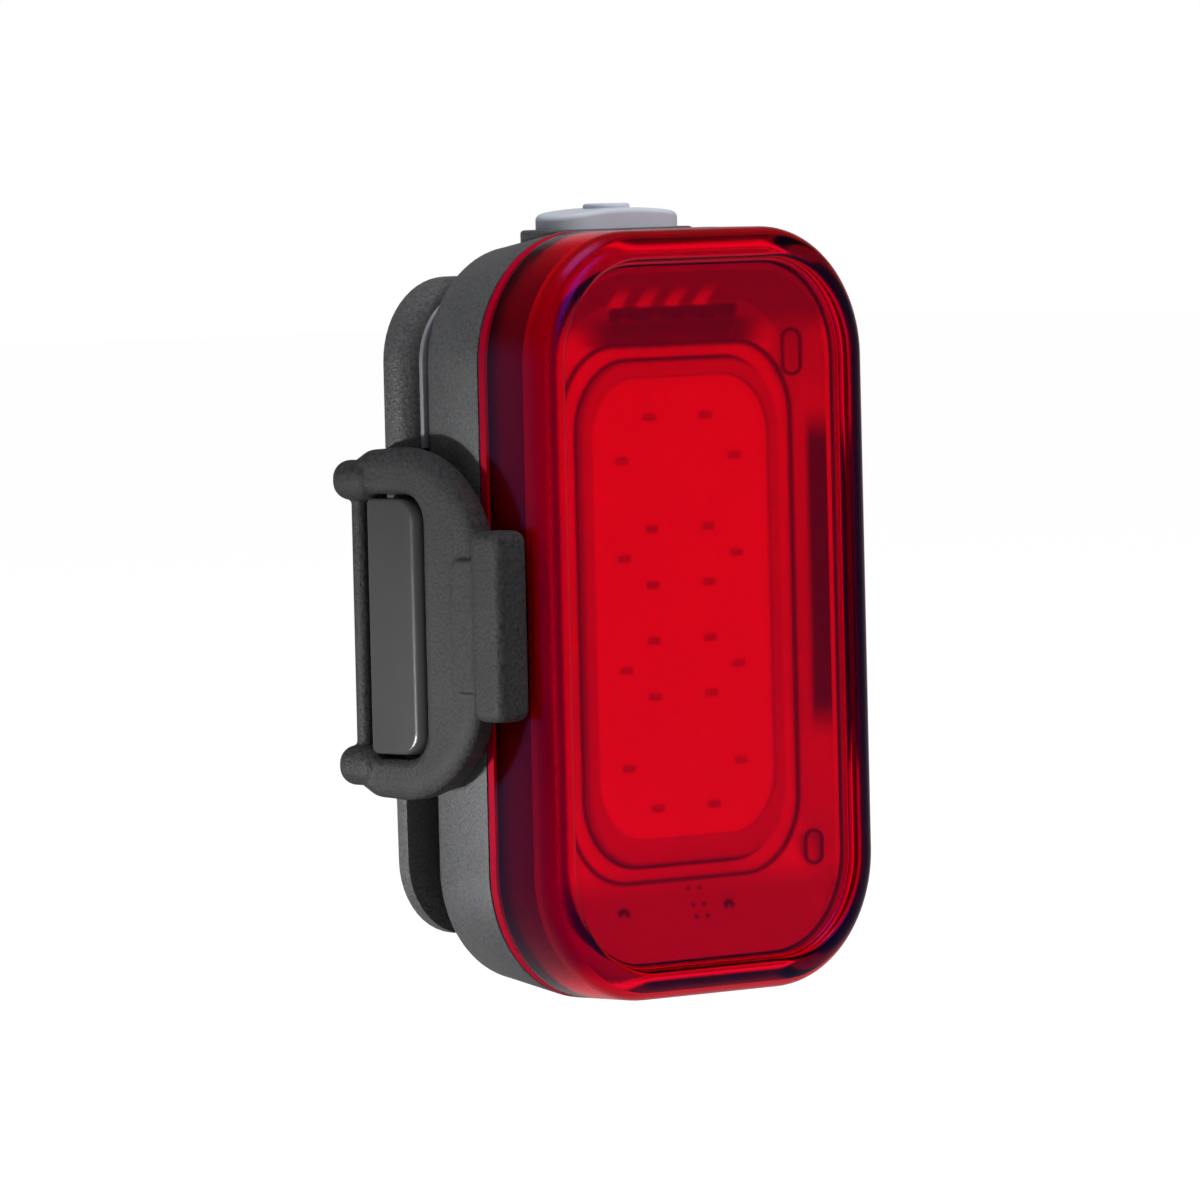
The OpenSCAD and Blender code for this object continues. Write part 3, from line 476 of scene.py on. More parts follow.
def buildHousing(v):
    bm = bmesh.new()
    depth = v["rear"] - body["parting"]
    chamfer = v["partingEdge"]
    slope = depth - v["rearEdge"] - chamfer
    rearSteps = [
        *quarter(chamfer, outward, forward, 2),
        (v["draft"] * slope / depth, slope),
        *quarter(v["rearEdge"], forward, inward, 8),
        (0.05, 0),
    ]
    inner = v["tongue"] + depth - v["backWall"]
    frontSteps = [(v["tongueInset"] - chamfer, 0), (0, v["tongue"]), (v["tongueWall"], 0), (0, -inner),
                  (0.05, 0)]
    ringedShell(bm, (0, body["parting"], 0), body["width"] - 2 * chamfer, body["height"] - 2 * chamfer,
                body["corner"] - chamfer, frontSteps, rearSteps, steps=24)
    piece = makePiece(bm, "housingShell", satinBlack)
    bossTool = bmesh.new()
    b = boss
    bossSteps = [(0, b["top"] - b["edge"] - b["root"]), *quarter(b["edge"], forward, inward, 4)]
    ringedShell(bossTool, (0, b["middle"], b["root"]), b["width"], b["depth"], b["corner"], bossSteps, [], 12,
                ("top", "bottom"))
    carve(piece, bossTool, "UNION")
    w = buttonWell
    carve(piece, columnTool(w["width"], w["depth"], w["corner"], b["middle"], w["floor"], w["end"]))
    r, m = portRecess, portMouth
    carve(piece, columnTool(r["width"], r["depth"], r["corner"], r["middle"], r["end"], r["floor"]))
    carve(piece, columnTool(m["width"], m["depth"], m["corner"], r["middle"], m["low"], m["high"]))
    carve(piece, rodTool(coverHinge["groove"], r["width"], coverHinge["y"], coverHinge["z"]))
    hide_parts("housing")
    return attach(piece, "light")


buildHousing(housing)
print("housing made")

tray = {
    "front": -15.9, "floor": -13.6, "rear": -12.8, "rim": 0.5,
    "outer": (29.8, 54.3, 7.55), "floorOutline": (25, 45.2, 6), "floorRise": 1.6,
    "rearOutline": (26.6, 46.8, 6), "opening": (22, 39.9, 5.75),
}
traySlot = {"length": 14, "height": 1.1, "z": 23.4, "start": -12, "reach": 5}
# ovals (x, y, z, width, height, turn) on the right wall; rings (x, z, radius) and dots (columns, rows,
# radius) on the lower wall
trayMarksAndShade = {
    "line": 0.22, "proud": 0.16,
    "ovals": ((11.9, -14.7, 20, 1.7, 3.8, -27), (12.9, -15.0, -19.3, 1.5, 2.8, -34)),
    "rings": ((-7.8, -23.4, 0.55), (3.7, -23.4, 0.5)), "dots": ((-0.1, 1.1), (-21.8, -23.1, -24.0), 0.17),
    "lower": (-21, -13.6, -26.65, -15.9), "paintedCreaseShade": ((24.8, 41.8, 5.9), (25.3, 42.3, 6.15), 0.28),
    "gap": ((21.52, 39.42, 5.51), (22.1, 40, 5.8), 0.03), "slotDeep": 0.15,
}


def buildTray(v):
    bm = bmesh.new()
    w, h, r = v["outer"]
    rim = 2 * v["rim"]
    growRing(bm, "front", [(-y, 0, rise, *size) for y, rise, size in (
        (v["rear"], 0, v["opening"]), (v["floor"], 0, v["opening"]),
        (v["floor"], v["floorRise"], v["floorOutline"]), (v["front"], 0, (w - rim, h - rim, r - v["rim"])),
        (v["front"], 0, v["outer"]), (v["rear"], v["floorRise"], v["rearOutline"]))])
    piece = makePiece(bm, "reflectorTray", trayRedWithPaintedLight, sharp=25)
    slotTool = bmesh.new()
    s = traySlot
    ringedShell(slotTool, (0, s["start"], s["z"]), s["length"], s["height"], s["height"] / 2 - 0.02,
                [(0, s["reach"])], [], 8)
    carve(piece, slotTool)
    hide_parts("reflector")
    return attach(piece, "light")


def ringOnWall(bm, place, width, height, v):
    edge = 2 * v["line"]
    corner = min(width, height) / 2 - 0.02
    before = set(bm.verts)
    growRing(bm, "front", [(level, 0, 0, width - e, height - e, corner - e / 2) for level, e in (
        (-v["proud"], 0), (v["proud"], 0), (v["proud"], edge), (-v["proud"], edge))], 6)
    made = [q for q in bm.verts if q not in before]
    return made, Matrix.Translation(place)


def buildMarksAndShade(v):
    bm = bmesh.new()
    for x, y, z, width, height, turn in v["ovals"]:
        made, place = ringOnWall(bm, (x, y, z), width, height, v)
        bmesh.ops.transform(bm, matrix=place @ Matrix.Rotation(math.radians(turn), 4, "Z"), verts=made)
    z0, y0, z1, y1 = v["lower"]
    slope = (y1 - y0) / (z1 - z0)
    lean = Matrix.Rotation(math.atan(slope), 4, "X")
    for x, z, radius in v["rings"]:
        made, place = ringOnWall(bm, (x, y0 + slope * (z - z0), z), 2 * radius, 2 * radius, v)
        bmesh.ops.transform(bm, matrix=place @ lean, verts=made)
    columns, rows, radius = v["dots"]
    for x in columns:
        for z in rows:
            y = y0 + slope * (z - z0)
            growSolid(bm, "front", [(-y - 0.2, x, z, 2 * radius, 2 * radius, radius - 0.01),
                                    (-y + 0.1, x, z, 2 * radius, 2 * radius, radius - 0.01),
                                    (-y + 0.16, x, z, radius, radius, radius / 2 - 0.01)], 4)
    # painted shade: the crease ring is a dark line along the floor's edge, where the wall begins
    for inner, outer, proud in (v["paintedCreaseShade"], v["gap"]):
        growRing(bm, "front", [(-y0 + level, 0, 0, *size) for level, size in (
            (-0.2, inner), (proud, inner), (proud, outer), (-0.2, outer))])
    # painted shade: a dark plug at the slot's bottom
    s = traySlot
    level = -y0 - v["slotDeep"]
    size = (0, s["z"], s["length"] - 0.02, s["height"] - 0.02, s["height"] / 2 - 0.03)
    growSolid(bm, "front", [(level - 0.3, *size), (level, *size)], 8)
    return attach(makePiece(bm, "trayMarksAndShade", markAndShadeRed), "light")


buildTray(tray)
buildMarksAndShade(trayMarksAndShade)

emitter = {
    "board": -12.8, "damTop": -14.3, "damEdge": 0.3, "dam": (21.5, 39.4, 5.5), "fill": (19.2, 36.1, 4.8),
    "fillRise": 0.4, "fillFront": -14.0, "chip": (1.35, 0.6), "columns": (3.07, 6.14), "pitch": 2.19,
}


def buildEmitter(v):
    bm = bmesh.new()
    w, h, r = v["dam"]
    fw, fh, fr = v["fill"]
    edge = v["damEdge"]
    growRing(bm, "front", [(-y, 0, z, *size) for y, z, size in (
        (v["board"], 0, (w, h, r)), (v["damTop"] + edge, 0, (w, h, r)),
        (v["damTop"] + 0.09, 0, (w - 0.18, h - 0.18, r - 0.09)),
        (v["damTop"], 0, (w - 2 * edge, h - 2 * edge, r - edge)),
        (v["damTop"], v["fillRise"], (fw + 0.2, fh + 0.2, fr + 0.1)),
        (v["damTop"] + 0.15, v["fillRise"], (fw, fh, fr)), (v["board"], v["fillRise"], (fw, fh, fr)))])
    dam = makePiece(bm, "emitterDam", damRed, sharp=50)
    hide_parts("led_dam")
    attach(dam, "light")
    bm = bmesh.new()
    ringedShell(bm, (0, v["board"], v["fillRise"]), fw - 0.02, fh - 0.02, fr,
                [(0, v["board"] - v["fillFront"]), (0.4, -0.08), (0.8, -0.06), (0.05, 0)], [], 12)
    fill = makePiece(bm, "emitterFill", emitterPaintedGlow)
    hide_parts("led_emitter")
    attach(fill, "light")
    bm = bmesh.new()
    inner, outer = v["columns"]
    spots = [(inner, row) for row in (1, 3, 7)] + [(outer, row) for row in (2, 5.5)]
    for x, row in spots:
        for sx in (-1, 1):
            for sz in (-1, 1):
                place = (sx * x, v["fillFront"] + 0.3, sz * row * v["pitch"])
                ringedShell(bm, place, *v["chip"], 0.15, [(0, 0.2), (0.06, 0.04)], [], 3)
    chips = makePiece(bm, "emitterChips", chipRed)
    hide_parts("led_chips")
    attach(chips, "light")


buildEmitter(emitter)
print("reflector and emitter made")

clip = {
    "width": 36, "top": 26.65, "tip": -25, "topCorner": 6.6, "tipCorner": 6, "blade": 1.3, "ledge": 13.35,
    "lean": 0.7, "edge": 0.3, "taper": ((0.08, 0.4), (0.2, 0.45), (0.4, 0.45), (0.52, 0.35)),
    "square": 2, "rows": (12.8, 12.2, 11.6, 11, 10.4, 9),
}
gasket = {"inset": 1.2, "front": -3.4, "rear": -2.95, "edge": 0.1, "below": 12}


def buildClip(v):
    bm = bmesh.new()
    height = v["top"] - v["tip"]
    corners = bmesh.ops.create_grid(bm, x_segments=1, y_segments=1, size=0.5)["verts"]
    bmesh.ops.scale(bm, vec=(v["width"], height, 1), verts=corners)
    bmesh.ops.rotate(bm, cent=(0, 0, 0), matrix=Matrix.Rotation(math.pi / 2, 3, "X"), verts=corners)
    bmesh.ops.translate(bm, vec=(0, -v["blade"], v["tip"] + height / 2), verts=corners)
    upper = [c for c in corners if c.co.z > 0]
    lower = [c for c in corners if c.co.z < 0]
    bevel = {"affect": "VERTICES", "profile": 0.5, "material": -1}
    bmesh.ops.bevel(bm, geom=upper, offset=v["topCorner"], segments=14, **bevel)
    bmesh.ops.bevel(bm, geom=[c for c in lower if c.is_valid], offset=v["tipCorner"], segments=12, **bevel)
    face = bm.faces[:][0]
    rear = bmesh.ops.duplicate(bm, geom=[face])["geom"]
    rearFace = next(g for g in rear if isinstance(g, bmesh.types.BMFace))
    bmesh.ops.reverse_faces(bm, faces=[rearFace])
    rearFace.normal_update()
    stepFace(bm, rearFace, [(0, v["blade"] - v["edge"]), *quarter(v["edge"], forward, inward, 4), (0.05, 0)])
    bmesh.ops.remove_doubles(bm, verts=bm.verts, dist=0.001)
    geom = bm.verts[:] + bm.edges[:] + bm.faces[:]
    bmesh.ops.bisect_plane(bm, geom=geom, dist=0.0001, plane_co=(0, 0, v["ledge"]), plane_no=(0, 0, 1))
    ledgeFace = max((f for f in bm.faces if f.normal.y < -0.9 and f.calc_center_median().z > v["ledge"]),
                    key=lambda f: f.calc_area())
    stepFace(bm, ledgeFace, v["taper"])
    for vert in bm.verts:   # the root's lower end stays square
        if vert.co.y < -v["blade"] - 0.01 and vert.co.z < v["ledge"] + v["square"]:
            vert.co.z = v["ledge"]
    for level in v["rows"]:   # rows of cuts across the blade
        geom = bm.verts[:] + bm.edges[:] + bm.faces[:]
        bmesh.ops.bisect_plane(bm, geom=geom, dist=0.0001, plane_co=(0, 0, level), plane_no=(0, 0, 1))
    for vert in bm.verts:
        if vert.co.z < v["ledge"]:
            vert.co.y += (vert.co.z - v["ledge"]) * math.tan(math.radians(v["lean"]))
    piece = makePiece(bm, "clip", satinBlack)
    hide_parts("clip_root", "clip_blade")
    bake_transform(piece)
    return piece


def buildGasket(v):
    bm = bmesh.new()
    top = clip["top"] - v["inset"]
    low = clip["ledge"] - v["below"]
    middle = (0, (v["front"] + v["rear"]) / 2, (top + low) / 2)
    half = (v["rear"] - v["front"]) / 2
    profile = [(0, half - v["edge"]), *quarter(v["edge"], forward, inward, 4), (0.05, 0)]
    for side in ("front", "rear"):
        face = roundedFace(bm, side, middle, clip["width"] - 2 * v["inset"], top - low,
                           clip["topCorner"] - v["inset"], 12)
        geom = [face, *face.edges, *face.verts]
        cut = bmesh.ops.bisect_plane(bm, geom=geom, dist=0.0001, plane_co=(0, 0, clip["ledge"]),
                                     plane_no=(0, 0, 1), clear_inner=True)
        face = next(g for g in cut["geom"] if isinstance(g, bmesh.types.BMFace))
        stepFace(bm, face, profile)
    piece = makePiece(bm, "clipGasket", gasketGrey)
    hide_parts("clip_gasket")
    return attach(piece, "light")


buildClip(clip)
buildGasket(gasket)
print("clip and gasket made")

hook = {"reach": 20.5, "lip": 1.4, "front": -6.4, "rear": -0.5, "height": 20, "middle": -0.4, "corner": 1.8,
        "edge": 0.22, "nose": 1.0, "rearCorner": 0.5, "stemFront": -5.3, "stemRear": -3.6, "stemHeight": 13.3,
        "stemStart": 15.5, "stemCorner": 0.3}


def buildHook(v, side):
    bm = bmesh.new()
    reach, edge, nose = v["reach"], v["edge"], v["nose"]

    def outline(level, front, inset):
        low, high = v["front"] + front, v["rear"] - inset
        return (level, (low + high) / 2, v["middle"], high - low, v["height"] - 2 * inset,
                v["corner"] - inset, v["rearCorner"] - inset)

    base = reach - v["lip"]
    rings = [outline(base, edge, edge)[:6], outline(base + edge / 3, edge / 3, edge / 3),
             outline(base + edge, 0, 0)]
    for k in range(9):   # full round along the front, a fine edge elsewhere
        angle = math.pi / 2 * k / 8
        level = reach - nose * (1 - math.sin(angle))
        past = max(0, level - reach + edge)
        inset = edge - math.sqrt(edge ** 2 - min(past, edge) ** 2)
        rings.append(outline(level, nose * (1 - math.cos(angle)), inset))
    growSolid(bm, "right", rings, 8)
    stemMiddle = (v["stemFront"] + v["stemRear"]) / 2
    ringedShell(bm, (v["stemStart"], stemMiddle, v["middle"]), v["stemRear"] - v["stemFront"],
                v["stemHeight"], v["stemCorner"], [(0, reach - v["lip"] / 2 - v["stemStart"])], [], 3,
                ("right", "left"))
    if side == "left":
        bmesh.ops.scale(bm, vec=(-1, 1, 1), verts=bm.verts)
    piece = makePiece(bm, "hook" + side.capitalize(), hookBlack)
    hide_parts("hook_" + side)
    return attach(piece, "light")


buildHook(hook, "left")
buildHook(hook, "right")
print("hooks made")

strap = {
    "middle": -0.2, "loopIn": 18.2, "loop": 2.7, "round": 0.9, "bendY": 1.8, "edgeH": 3.9, "edgeCorner": 1.3,
    "bandH": 26.2, "webX": 19.3, "webY": 1.3, "webR": 0.8, "webShort": 1.5, "webEdge": 0.2, "webCorner": 0.1,
    "bandEnd": 18.05, "edgeT": 2.8, "webT": 1.6,
    "voxel": 0.13, "smooth": 2, "dome": ((0.1, 0.12), (0.25, 0.2), (0.35, 0.16), (0.35, 0.1), (0.35, 0.06)),
    "outline": ((-0.35, 10.95, 2.15), (-1.4, 11.0, 2.6), (-3.9, 4.35, 9.4)),
    "lobe": (19.72, 0.9, 3.1, 4.9, 9.6, 12.75), "lobeEdge": 1.4,
    "eyelet": (-7.0, 3.35, 20.6, 2.2), "eyeletMiddle": -0.4, "flare": 0.8,
}
pullTab = {"front": -16.5, "grip": 3.5, "height": 14.8, "rise": 0.6, "edge": 0.8, "corner": 0.8,
           "step": 2.3, "stepHeight": 10.3, "stepRise": 0.45, "stepEdge": 0.12}


# points of the outline that a thread pulled round the circles would take
def threadRound(circles, steps=48):
    turns = [2 * math.pi * k / steps for k in range(steps)]
    spots = [(y + r * math.cos(t), z + r * math.sin(t)) for y, z, r in circles for t in turns]
    points = sorted({(round(y, 6), round(z, 6)) for y, z in spots})
    outline = []
    for path in (points, points[::-1]):
        chain = []
        for p in path:
            while len(chain) > 1:
                (ay, az), (by, bz) = chain[-2:]
                if (by - ay) * (p[1] - az) - (bz - az) * (p[0] - ay) > 1e-9:
                    break
                chain.pop()
            chain.append(p)
        outline += chain[:-1]
    return outline


def softBead(bm, x, y, width, depth, low, high, edge):
    angles = [math.pi / 12 * k for k in range(7)]
    ends = [(edge * (1 - math.sin(t)), edge * (1 - math.cos(t))) for t in angles]
    levels = [(low + d, e) for d, e in reversed(ends)] + [(high - d, e) for d, e in ends]
    rings = [(z, x, y, width - 2 * e, depth - 2 * e, width / 2 - e - 0.01) for z, e in levels]
    growSolid(bm, "top", rings, 10)


def softPad(bm, v, front, length, height, rise, edge):
    rounded = quarter(edge, forward, inward, 5)
    ringedShell(bm, (v["loopIn"] + edge, front + length / 2, v["middle"]), length, height,
                pullTab["corner"] + edge / 4, [(0, v["loop"] + rise - 2 * edge), *rounded], rounded, 6,
                ("right", "left"))


def buildStrapEnd(v, side, tab):
    bm = bmesh.new()
    circles = [(y, sign * z, r) for y, z, r in v["outline"] for sign in (-1, 1)]
    middle = v["loopIn"] + v["loop"] / 2
    rounded = [(0, v["loop"] / 2 - v["round"]), *quarter(v["round"], forward, inward, 6)]
    domed = [(0, v["loop"] / 2 - sum(rise for inset, rise in v["dome"])), *v["dome"]]
    points = [(middle, min(y, v["bendY"]), z + v["middle"]) for y, z in threadRound(circles)]
    for flip, profile in ((False, domed), (True, rounded)):
        face = bm.faces.new([bm.verts.new(point) for point in points])
        face.normal_update()
        if (face.normal.x < 0) != flip:
            bmesh.ops.reverse_faces(bm, faces=[face])
            face.normal_update()
        stepFace(bm, face, profile)
    piece = makePiece(bm, "strapTabEnd" if tab else "strapFixedEnd", strapRubber)
    skin = {"mode": "VOXEL", "voxel_size": v["voxel"] / 1000, "use_smooth_shade": True}
    applyModifier(piece, "REMESH", **skin)
    front, rear, height, corner = v["eyelet"]
    eyelet = bmesh.new()
    place = (middle, (front + rear) / 2, v["eyeletMiddle"])
    flare = [(0, v["loop"] / 2 - v["flare"]), *quarter(v["flare"], forward, outward, 5), (0, 0.5)]
    ringedShell(eyelet, place, rear - front, height, corner, flare, flare, 8, ("right", "left"))
    carve(piece, eyelet)
    bm = bmesh.new()
    top = v["bandH"] / 2
    for sign in (-1, 1):
        *place, near, far = v["lobe"]
        low, high = sorted((sign * near, sign * far))
        softBead(bm, *place, v["middle"] + low, v["middle"] + high, v["lobeEdge"])
    low, high = v["middle"] - top + v["webShort"], v["middle"] + top - v["webShort"]
    softBead(bm, v["webX"], v["webY"], 2 * v["webR"], 2 * v["webR"], low, high, v["webEdge"])
    if tab:
        t = pullTab
        softPad(bm, v, t["front"], t["grip"], t["height"], t["rise"], t["edge"])
        softPad(bm, v, t["front"] + t["grip"] - 2 * t["corner"], t["step"] + 2 * t["corner"],
                t["stepHeight"], t["stepRise"], t["stepEdge"])
    settleMesh(bm)
    bm.from_mesh(piece.data)
    bm.to_mesh(piece.data)
    bm.free()
    applyModifier(piece, "REMESH", **skin)   # one soft skin, with small fillets where the forms meet
    bm = bmesh.new()
    bm.from_mesh(piece.data)
    for k in range(v["smooth"]):
        bmesh.ops.smooth_vert(bm, verts=bm.verts, factor=0.5, use_axis_x=True, use_axis_y=True,
                              use_axis_z=True)
    if side == "left":
        bmesh.ops.scale(bm, vec=(-1, 1, 1), verts=bm.verts)
        bmesh.ops.reverse_faces(bm, faces=bm.faces)
    bm.to_mesh(piece.data)
    bm.free()
    if tab:
        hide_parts("strap_tab_end")
        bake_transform(piece)
    else:
        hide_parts("strap_fixed_end")
        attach(piece, "light")
    return piece


buildStrapEnd(strap, "left", True)
buildStrapEnd(strap, "right", False)


def buildBand(v):
    bm = bmesh.new()
    top = v["bandH"] / 2
    ends = [(0, v["bandEnd"])]
    for sign in (-1, 1):
        middle = v["middle"] + sign * (top - v["edgeH"] / 2)
        ringedShell(bm, (0, v["bendY"], middle), v["edgeT"], v["edgeH"], v["edgeCorner"], ends, ends, 8,
                    ("left", "right"))
    ringedShell(bm, (0, v["webY"], v["middle"]), v["webT"], v["bandH"] - v["edgeH"], v["webCorner"],
                ends, ends, 2, ("left", "right"))
    piece = makePiece(bm, "strapBand", strapRubber)
    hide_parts("strap_band")
    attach(piece, "light")
    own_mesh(piece)
    return piece


buildBand(strap)
print("strap made")

button = {"width": 13.3, "depth": 5.4, "corner": 2.6, "bottom": 29.42, "top": 31.72, "drop": 0.55,
          "edge": 0.45, "middle": -7.0, "dot": 1.85, "dotRise": 0.35, "dotSink": 0.3, "dotEdge": 0.25,
          "rowPitch": 0.7, "stem": 1.5, "stemMiddle": -7.7, "stemEnd": 26.1}


def buildButton(v):
    bm = bmesh.new()
    rise = v["top"] - v["bottom"] - v["edge"]
    ringedShell(bm, (0, v["middle"], v["bottom"]), v["width"], v["depth"], v["corner"],
                [(0, rise), *quarter(v["edge"], forward, inward, 6), (0.05, 0)], [], 14, ("top", "bottom"))
    for k in range(-9, 10):
        geom = bm.verts[:] + bm.edges[:] + bm.faces[:]
        bmesh.ops.bisect_plane(bm, geom=geom, dist=0.0001, plane_co=(k * v["rowPitch"], 0, 0),
                               plane_no=(1, 0, 0))
    for vert in bm.verts:
        if vert.co.z > v["bottom"] + rise / 2:
            vert.co.z -= v["drop"] * (2 * vert.co.x / v["width"]) ** 2
    dotSteps = [(0, v["dotSink"] + v["dotRise"] - v["dotEdge"]),
                *quarter(v["dotEdge"], forward, inward, 4), (0.05, 0)]
    ringedShell(bm, (0, v["middle"], v["top"] - v["dotSink"]), 2 * v["dot"], 2 * v["dot"], v["dot"] - 0.01,
                dotSteps, [], 12, ("top", "bottom"))
    ringedShell(bm, (0, v["stemMiddle"], v["stemEnd"]), 2 * v["stem"], 2 * v["stem"], v["stem"] - 0.01,
                [(0, v["bottom"] + 0.2 - v["stemEnd"])], [], 10, ("top", "bottom"))
    piece = makePiece(bm, "buttonCap", buttonGrey)
    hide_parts("button_cap")
    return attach(piece, "button")


buildButton(button)
print("button made")

usbCover = {"width": 11.4, "depth": 4.26, "corner": 1.2, "inner": -28.15, "lip": 0.4, "thick": 1.4,
            "outer": -29.507, "edge": 0.25, "plug": (7.74, 2.06, 0.9, 0.55)}


def buildCover(v):
    bm = bmesh.new()
    y = portRecess["middle"]
    ringedShell(bm, (0, y, v["inner"] - v["lip"]), v["width"], v["depth"], v["corner"],
                [(0, v["thick"]), *quarter(v["edge"], forward, inward, 4), (0.05, 0)], [(0, v["lip"])], 8,
                ("bottom", "top"))
    slope = housing["draft"] / (housing["rear"] - body["parting"])
    level = v["inner"] - v["lip"] - v["thick"] - v["edge"]
    for vert in bm.verts:   # the outer face follows the housing's draft
        if vert.co.z < v["inner"] - 1:
            vert.co.z += slope * (vert.co.y - y) + v["outer"] - level
    w, d, r, h = v["plug"]
    ringedShell(bm, (0, y, v["inner"]), w, d, r, [(0, h)], [], 6, ("top", "bottom"))
    piece = makePiece(bm, "portCover", coverRubber)
    carve(piece, rodTool(coverHinge["bead"], 9, coverHinge["y"], coverHinge["z"]), "UNION")
    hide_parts("usb_cover")
    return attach(piece, "usb_flap")


buildCover(usbCover)
print("port cover made")

# finishes of the pieces that keep their CAD shape
insideFinishes = {
    "boardWhite": ((0.8, 0.8, 0.8), 0.4, 0, ("led_board",)),
    "boardGreen": ((0.02, 0.16, 0.06), 0.35, 0, ("main_board",)),
    "screwSteel": ((0.55, 0.55, 0.57), 0.3, 1, ("board_screws", "clip_screws")),
    "chipBlack": ((0.03, 0.03, 0.03), 0.5, 0,
                  ("controller_chip", "usb_tongue", "tact_switch", "lead_negative")),
    "ferriteGrey": ((0.1, 0.1, 0.11), 0.6, 0, ("power_coil",)),
    "ceramicTan": ((0.5, 0.36, 0.2), 0.5, 0, ("capacitors",)),
    "ivoryPlastic": ((0.75, 0.72, 0.62), 0.45, 0, ("battery_plug", "board_link", "switch_plunger")),
    "batteryFoil": ((0.7, 0.72, 0.75), 0.35, 1, ("battery",)),
    "padFoam": ((0.8, 0.8, 0.78), 0.9, 0, ("battery_pad",)),
    "leadRed": ((0.6, 0.03, 0.03), 0.4, 0, ("lead_positive",)),
    "portSteel": ((0.6, 0.61, 0.63), 0.28, 1, ("usb_shell",)),
    "sealBlack": ((0.03, 0.03, 0.03), 0.7, 0, ("lens_seal",)),
    # painted shade: the slot lamps are dark so that the slot reads as shaded
    "slotLampShade": ((0.16, 0.11, 0.11), 0.3, 0, ("slot_lamps",)),
    "lampClear": ((0.9, 0.86, 0.8), 0.3, 0, ("status_lamp",)),
}
for name, (colour, rough, metal, members) in insideFinishes.items():
    material = grainFinish(name, colour, rough, grain=2400, bump=0.2, Metallic=metal)
    for member in members:
        data = frame["nodes"][member].data
        data.materials.clear()
        data.materials.append(material)
print("inner pieces finished")

studio = {"floor": -0.055, "ambient": 0.07, "floorGlow": 0.98, "dim": 0.3, "front": 0.16, "high": 0.05,
          "beyond": 0.3, "backdrop": (0.694, 0.7185, 0.0)}


# how far a place or direction lies along a way
def towards(tree, vector, way):
    return addNode(tree, "VectorMath", {0: vector, 1: way}, operation="DOT_PRODUCT").outputs["Value"]


def pickFloat(tree, factor, a, b):
    return addNode(tree, "Mix", {0: factor, 2: a, 3: b}, data_type="FLOAT").outputs[0]


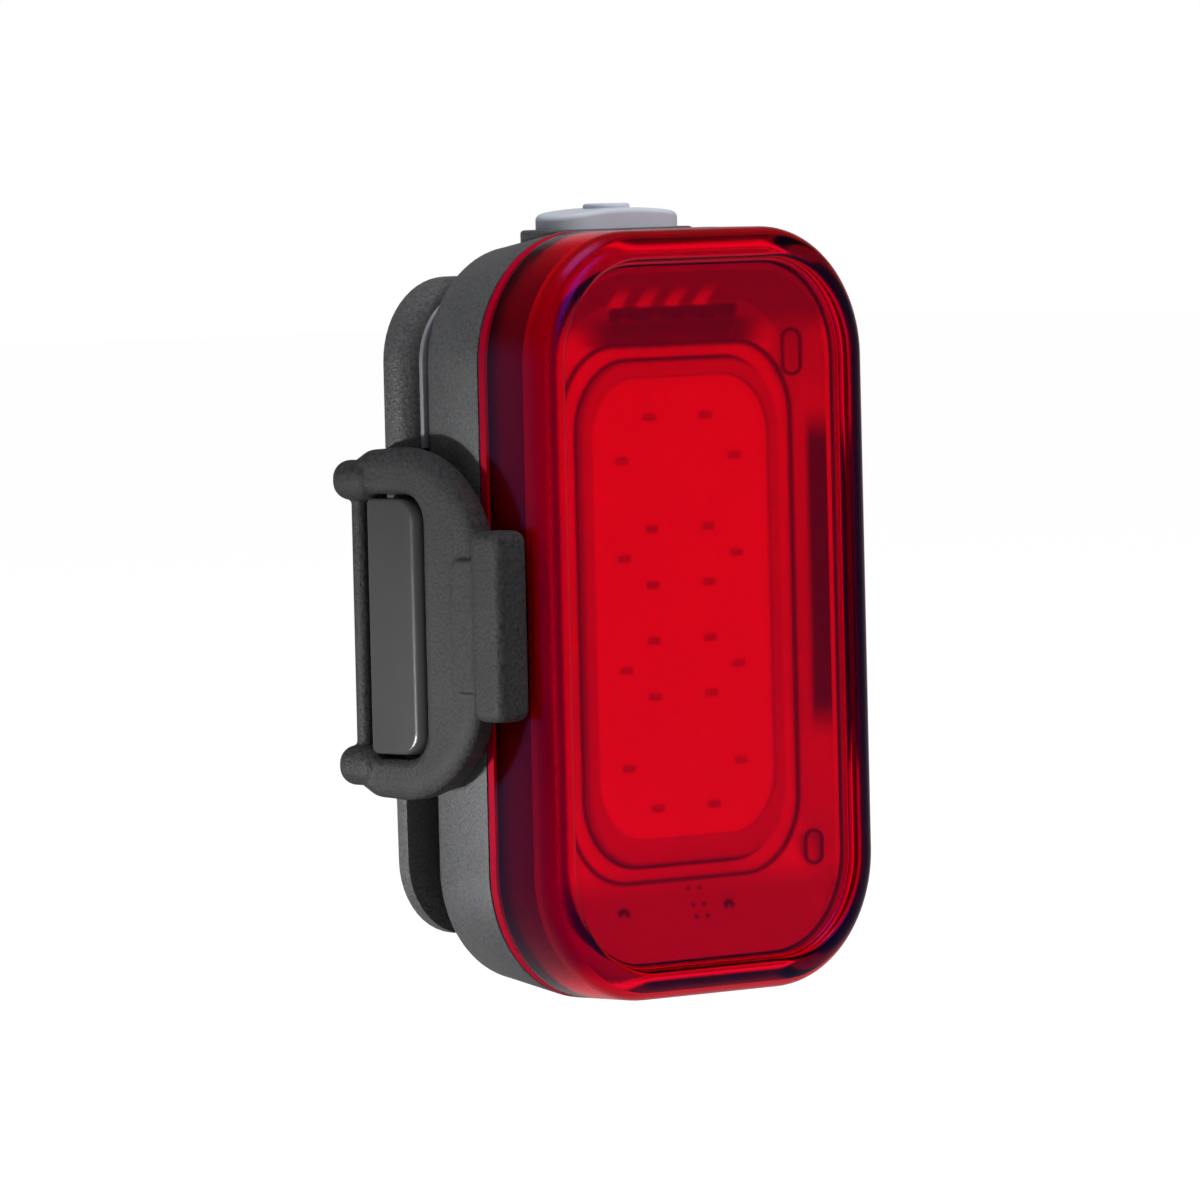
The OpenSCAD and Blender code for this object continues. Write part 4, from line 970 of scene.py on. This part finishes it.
def buildStage(v):
    bm = bmesh.new()
    bmesh.ops.create_grid(bm, x_segments=1, y_segments=1, size=3)
    bmesh.ops.translate(bm, vec=(0, 0, v["floor"]), verts=bm.verts)
    mesh = bpy.data.meshes.new("floor")
    bm.to_mesh(mesh)
    bm.free()
    material = bpy.data.materials.new("paleFloor")
    material.use_nodes = True
    tree = material.node_tree
    tree.nodes.clear()
    seen = addNode(tree, "LightPath").outputs
    pick = addNode(tree, "Math", {0: seen["Is Camera Ray"], 1: seen["Is Glossy Ray"]}, operation="MAXIMUM")
    pick = addNode(tree, "Math", {0: pick.outputs[0], 1: seen["Is Transmission Ray"]}, operation="MAXIMUM")
    place = addNode(tree, "TexCoord").outputs["Object"]
    dimmed = pickFloat(tree, softStep(tree, towards(tree, place, (0, 1, 0)), -0.3, 0.3), v["front"], v["dim"])
    beyond = softStep(tree, towards(tree, place, v["backdrop"]), 0.15, 0.6)
    dimmed = pickFloat(tree, beyond, dimmed, v["beyond"])
    # reflections see the dimmed floor, not the white one
    mirrored = addNode(tree, "Math", {0: seen["Is Glossy Ray"], 1: seen["Is Transmission Ray"]},
                       operation="SUBTRACT", use_clamp=True)
    level = pickFloat(tree, mirrored.outputs[0], v["floorGlow"], dimmed)
    paper = addNode(tree, "BsdfDiffuse", {"Color": (0.5, 0.5, 0.5, 1)})
    faint = addNode(tree, "BsdfDiffuse", {"Color": (0.1, 0.1, 0.1, 1)})
    glow = addNode(tree, "Emission", {"Color": (1, 1, 1, 1), "Strength": level})
    both = addNode(tree, "AddShader", {0: faint.outputs[0], 1: glow.outputs[0]})
    mix = addNode(tree, "MixShader", {0: pick.outputs[0], 1: paper.outputs[0], 2: both.outputs[0]})
    addNode(tree, "OutputMaterial", {"Surface": mix.outputs[0]})
    mesh.materials.append(material)
    floor = bpy.data.objects.new("floor", mesh)
    floor.visible_shadow = False
    scene.collection.objects.link(floor)
    world = bpy.data.worlds.new("studioWorld")
    world.use_nodes = True
    tree = world.node_tree
    tree.nodes.clear()
    seen = addNode(tree, "LightPath").outputs
    way = addNode(tree, "TexCoord").outputs["Generated"]
    height = addNode(tree, "SeparateXYZ", {"Vector": way}).outputs["Z"]
    room = pickFloat(tree, softStep(tree, towards(tree, way, (0, 1, 0)), -0.3, 0.3), v["front"], v["dim"])
    room = pickFloat(tree, softStep(tree, height, 0.03, 0.35), room, v["high"])
    shade = pickFloat(tree, softStep(tree, towards(tree, way, v["backdrop"]), 0.8, 0.96), room, v["beyond"])
    level = pickFloat(tree, seen["Is Glossy Ray"], v["ambient"], shade)
    clear = addNode(tree, "Math", {0: seen["Is Camera Ray"], 1: seen["Is Transmission Ray"]},
                    operation="MAXIMUM").outputs[0]
    level = addNode(tree, "Math", {0: clear, 1: level}, operation="MAXIMUM").outputs[0]
    air = addNode(tree, "Background", {"Color": (1, 1, 1, 1), "Strength": level})
    addNode(tree, "OutputWorld", {"Surface": air.outputs[0]})
    scene.world = world


buildStage(studio)

lamps = {   # kind, place and aim in metres, settings
    "topLamp": ("AREA", (0, -0.05, 0.9), (0, 0, 0), {"energy": 7.0, "size": 0.5}),
    "keyLamp": ("AREA", (0.15, -0.7, 0.35), (0, 0, 0), {"energy": 3.0, "size": 0.4}),
    "sideLamp": ("SPOT", (-0.36, 0.13, -0.10), (-0.018, -0.004, -0.009),
                 {"energy": 10.5, "spot_size": math.radians(8.2), "spot_blend": 0.5,
                  "shadow_soft_size": 0.03}),
}
for name, (kind, place, aim, settings) in lamps.items():
    light = bpy.data.lights.new(name, kind)
    for key, value in settings.items():
        setattr(light, key, value)
    lamp = bpy.data.objects.new(name, light)
    lamp.location = place
    lamp.rotation_euler = (Vector(aim) - Vector(place)).to_track_quat("-Z", "Y").to_euler()
    lamp.visible_camera = False
    lamp.visible_glossy = kind == "SPOT"
    if kind == "SPOT":   # lights the black pieces and the lens's edge only, so the lens has no streaks
        lit = bpy.data.collections.new("sideLit")
        for piece in scene.objects:
            if piece.name.startswith(("housing", "clip", "hook", "strap", "lensEdge")):
                lit.objects.link(piece)
        lamp.light_linking.receiver_collection = lit
    scene.collection.objects.link(lamp)
print("stage and lamps set")
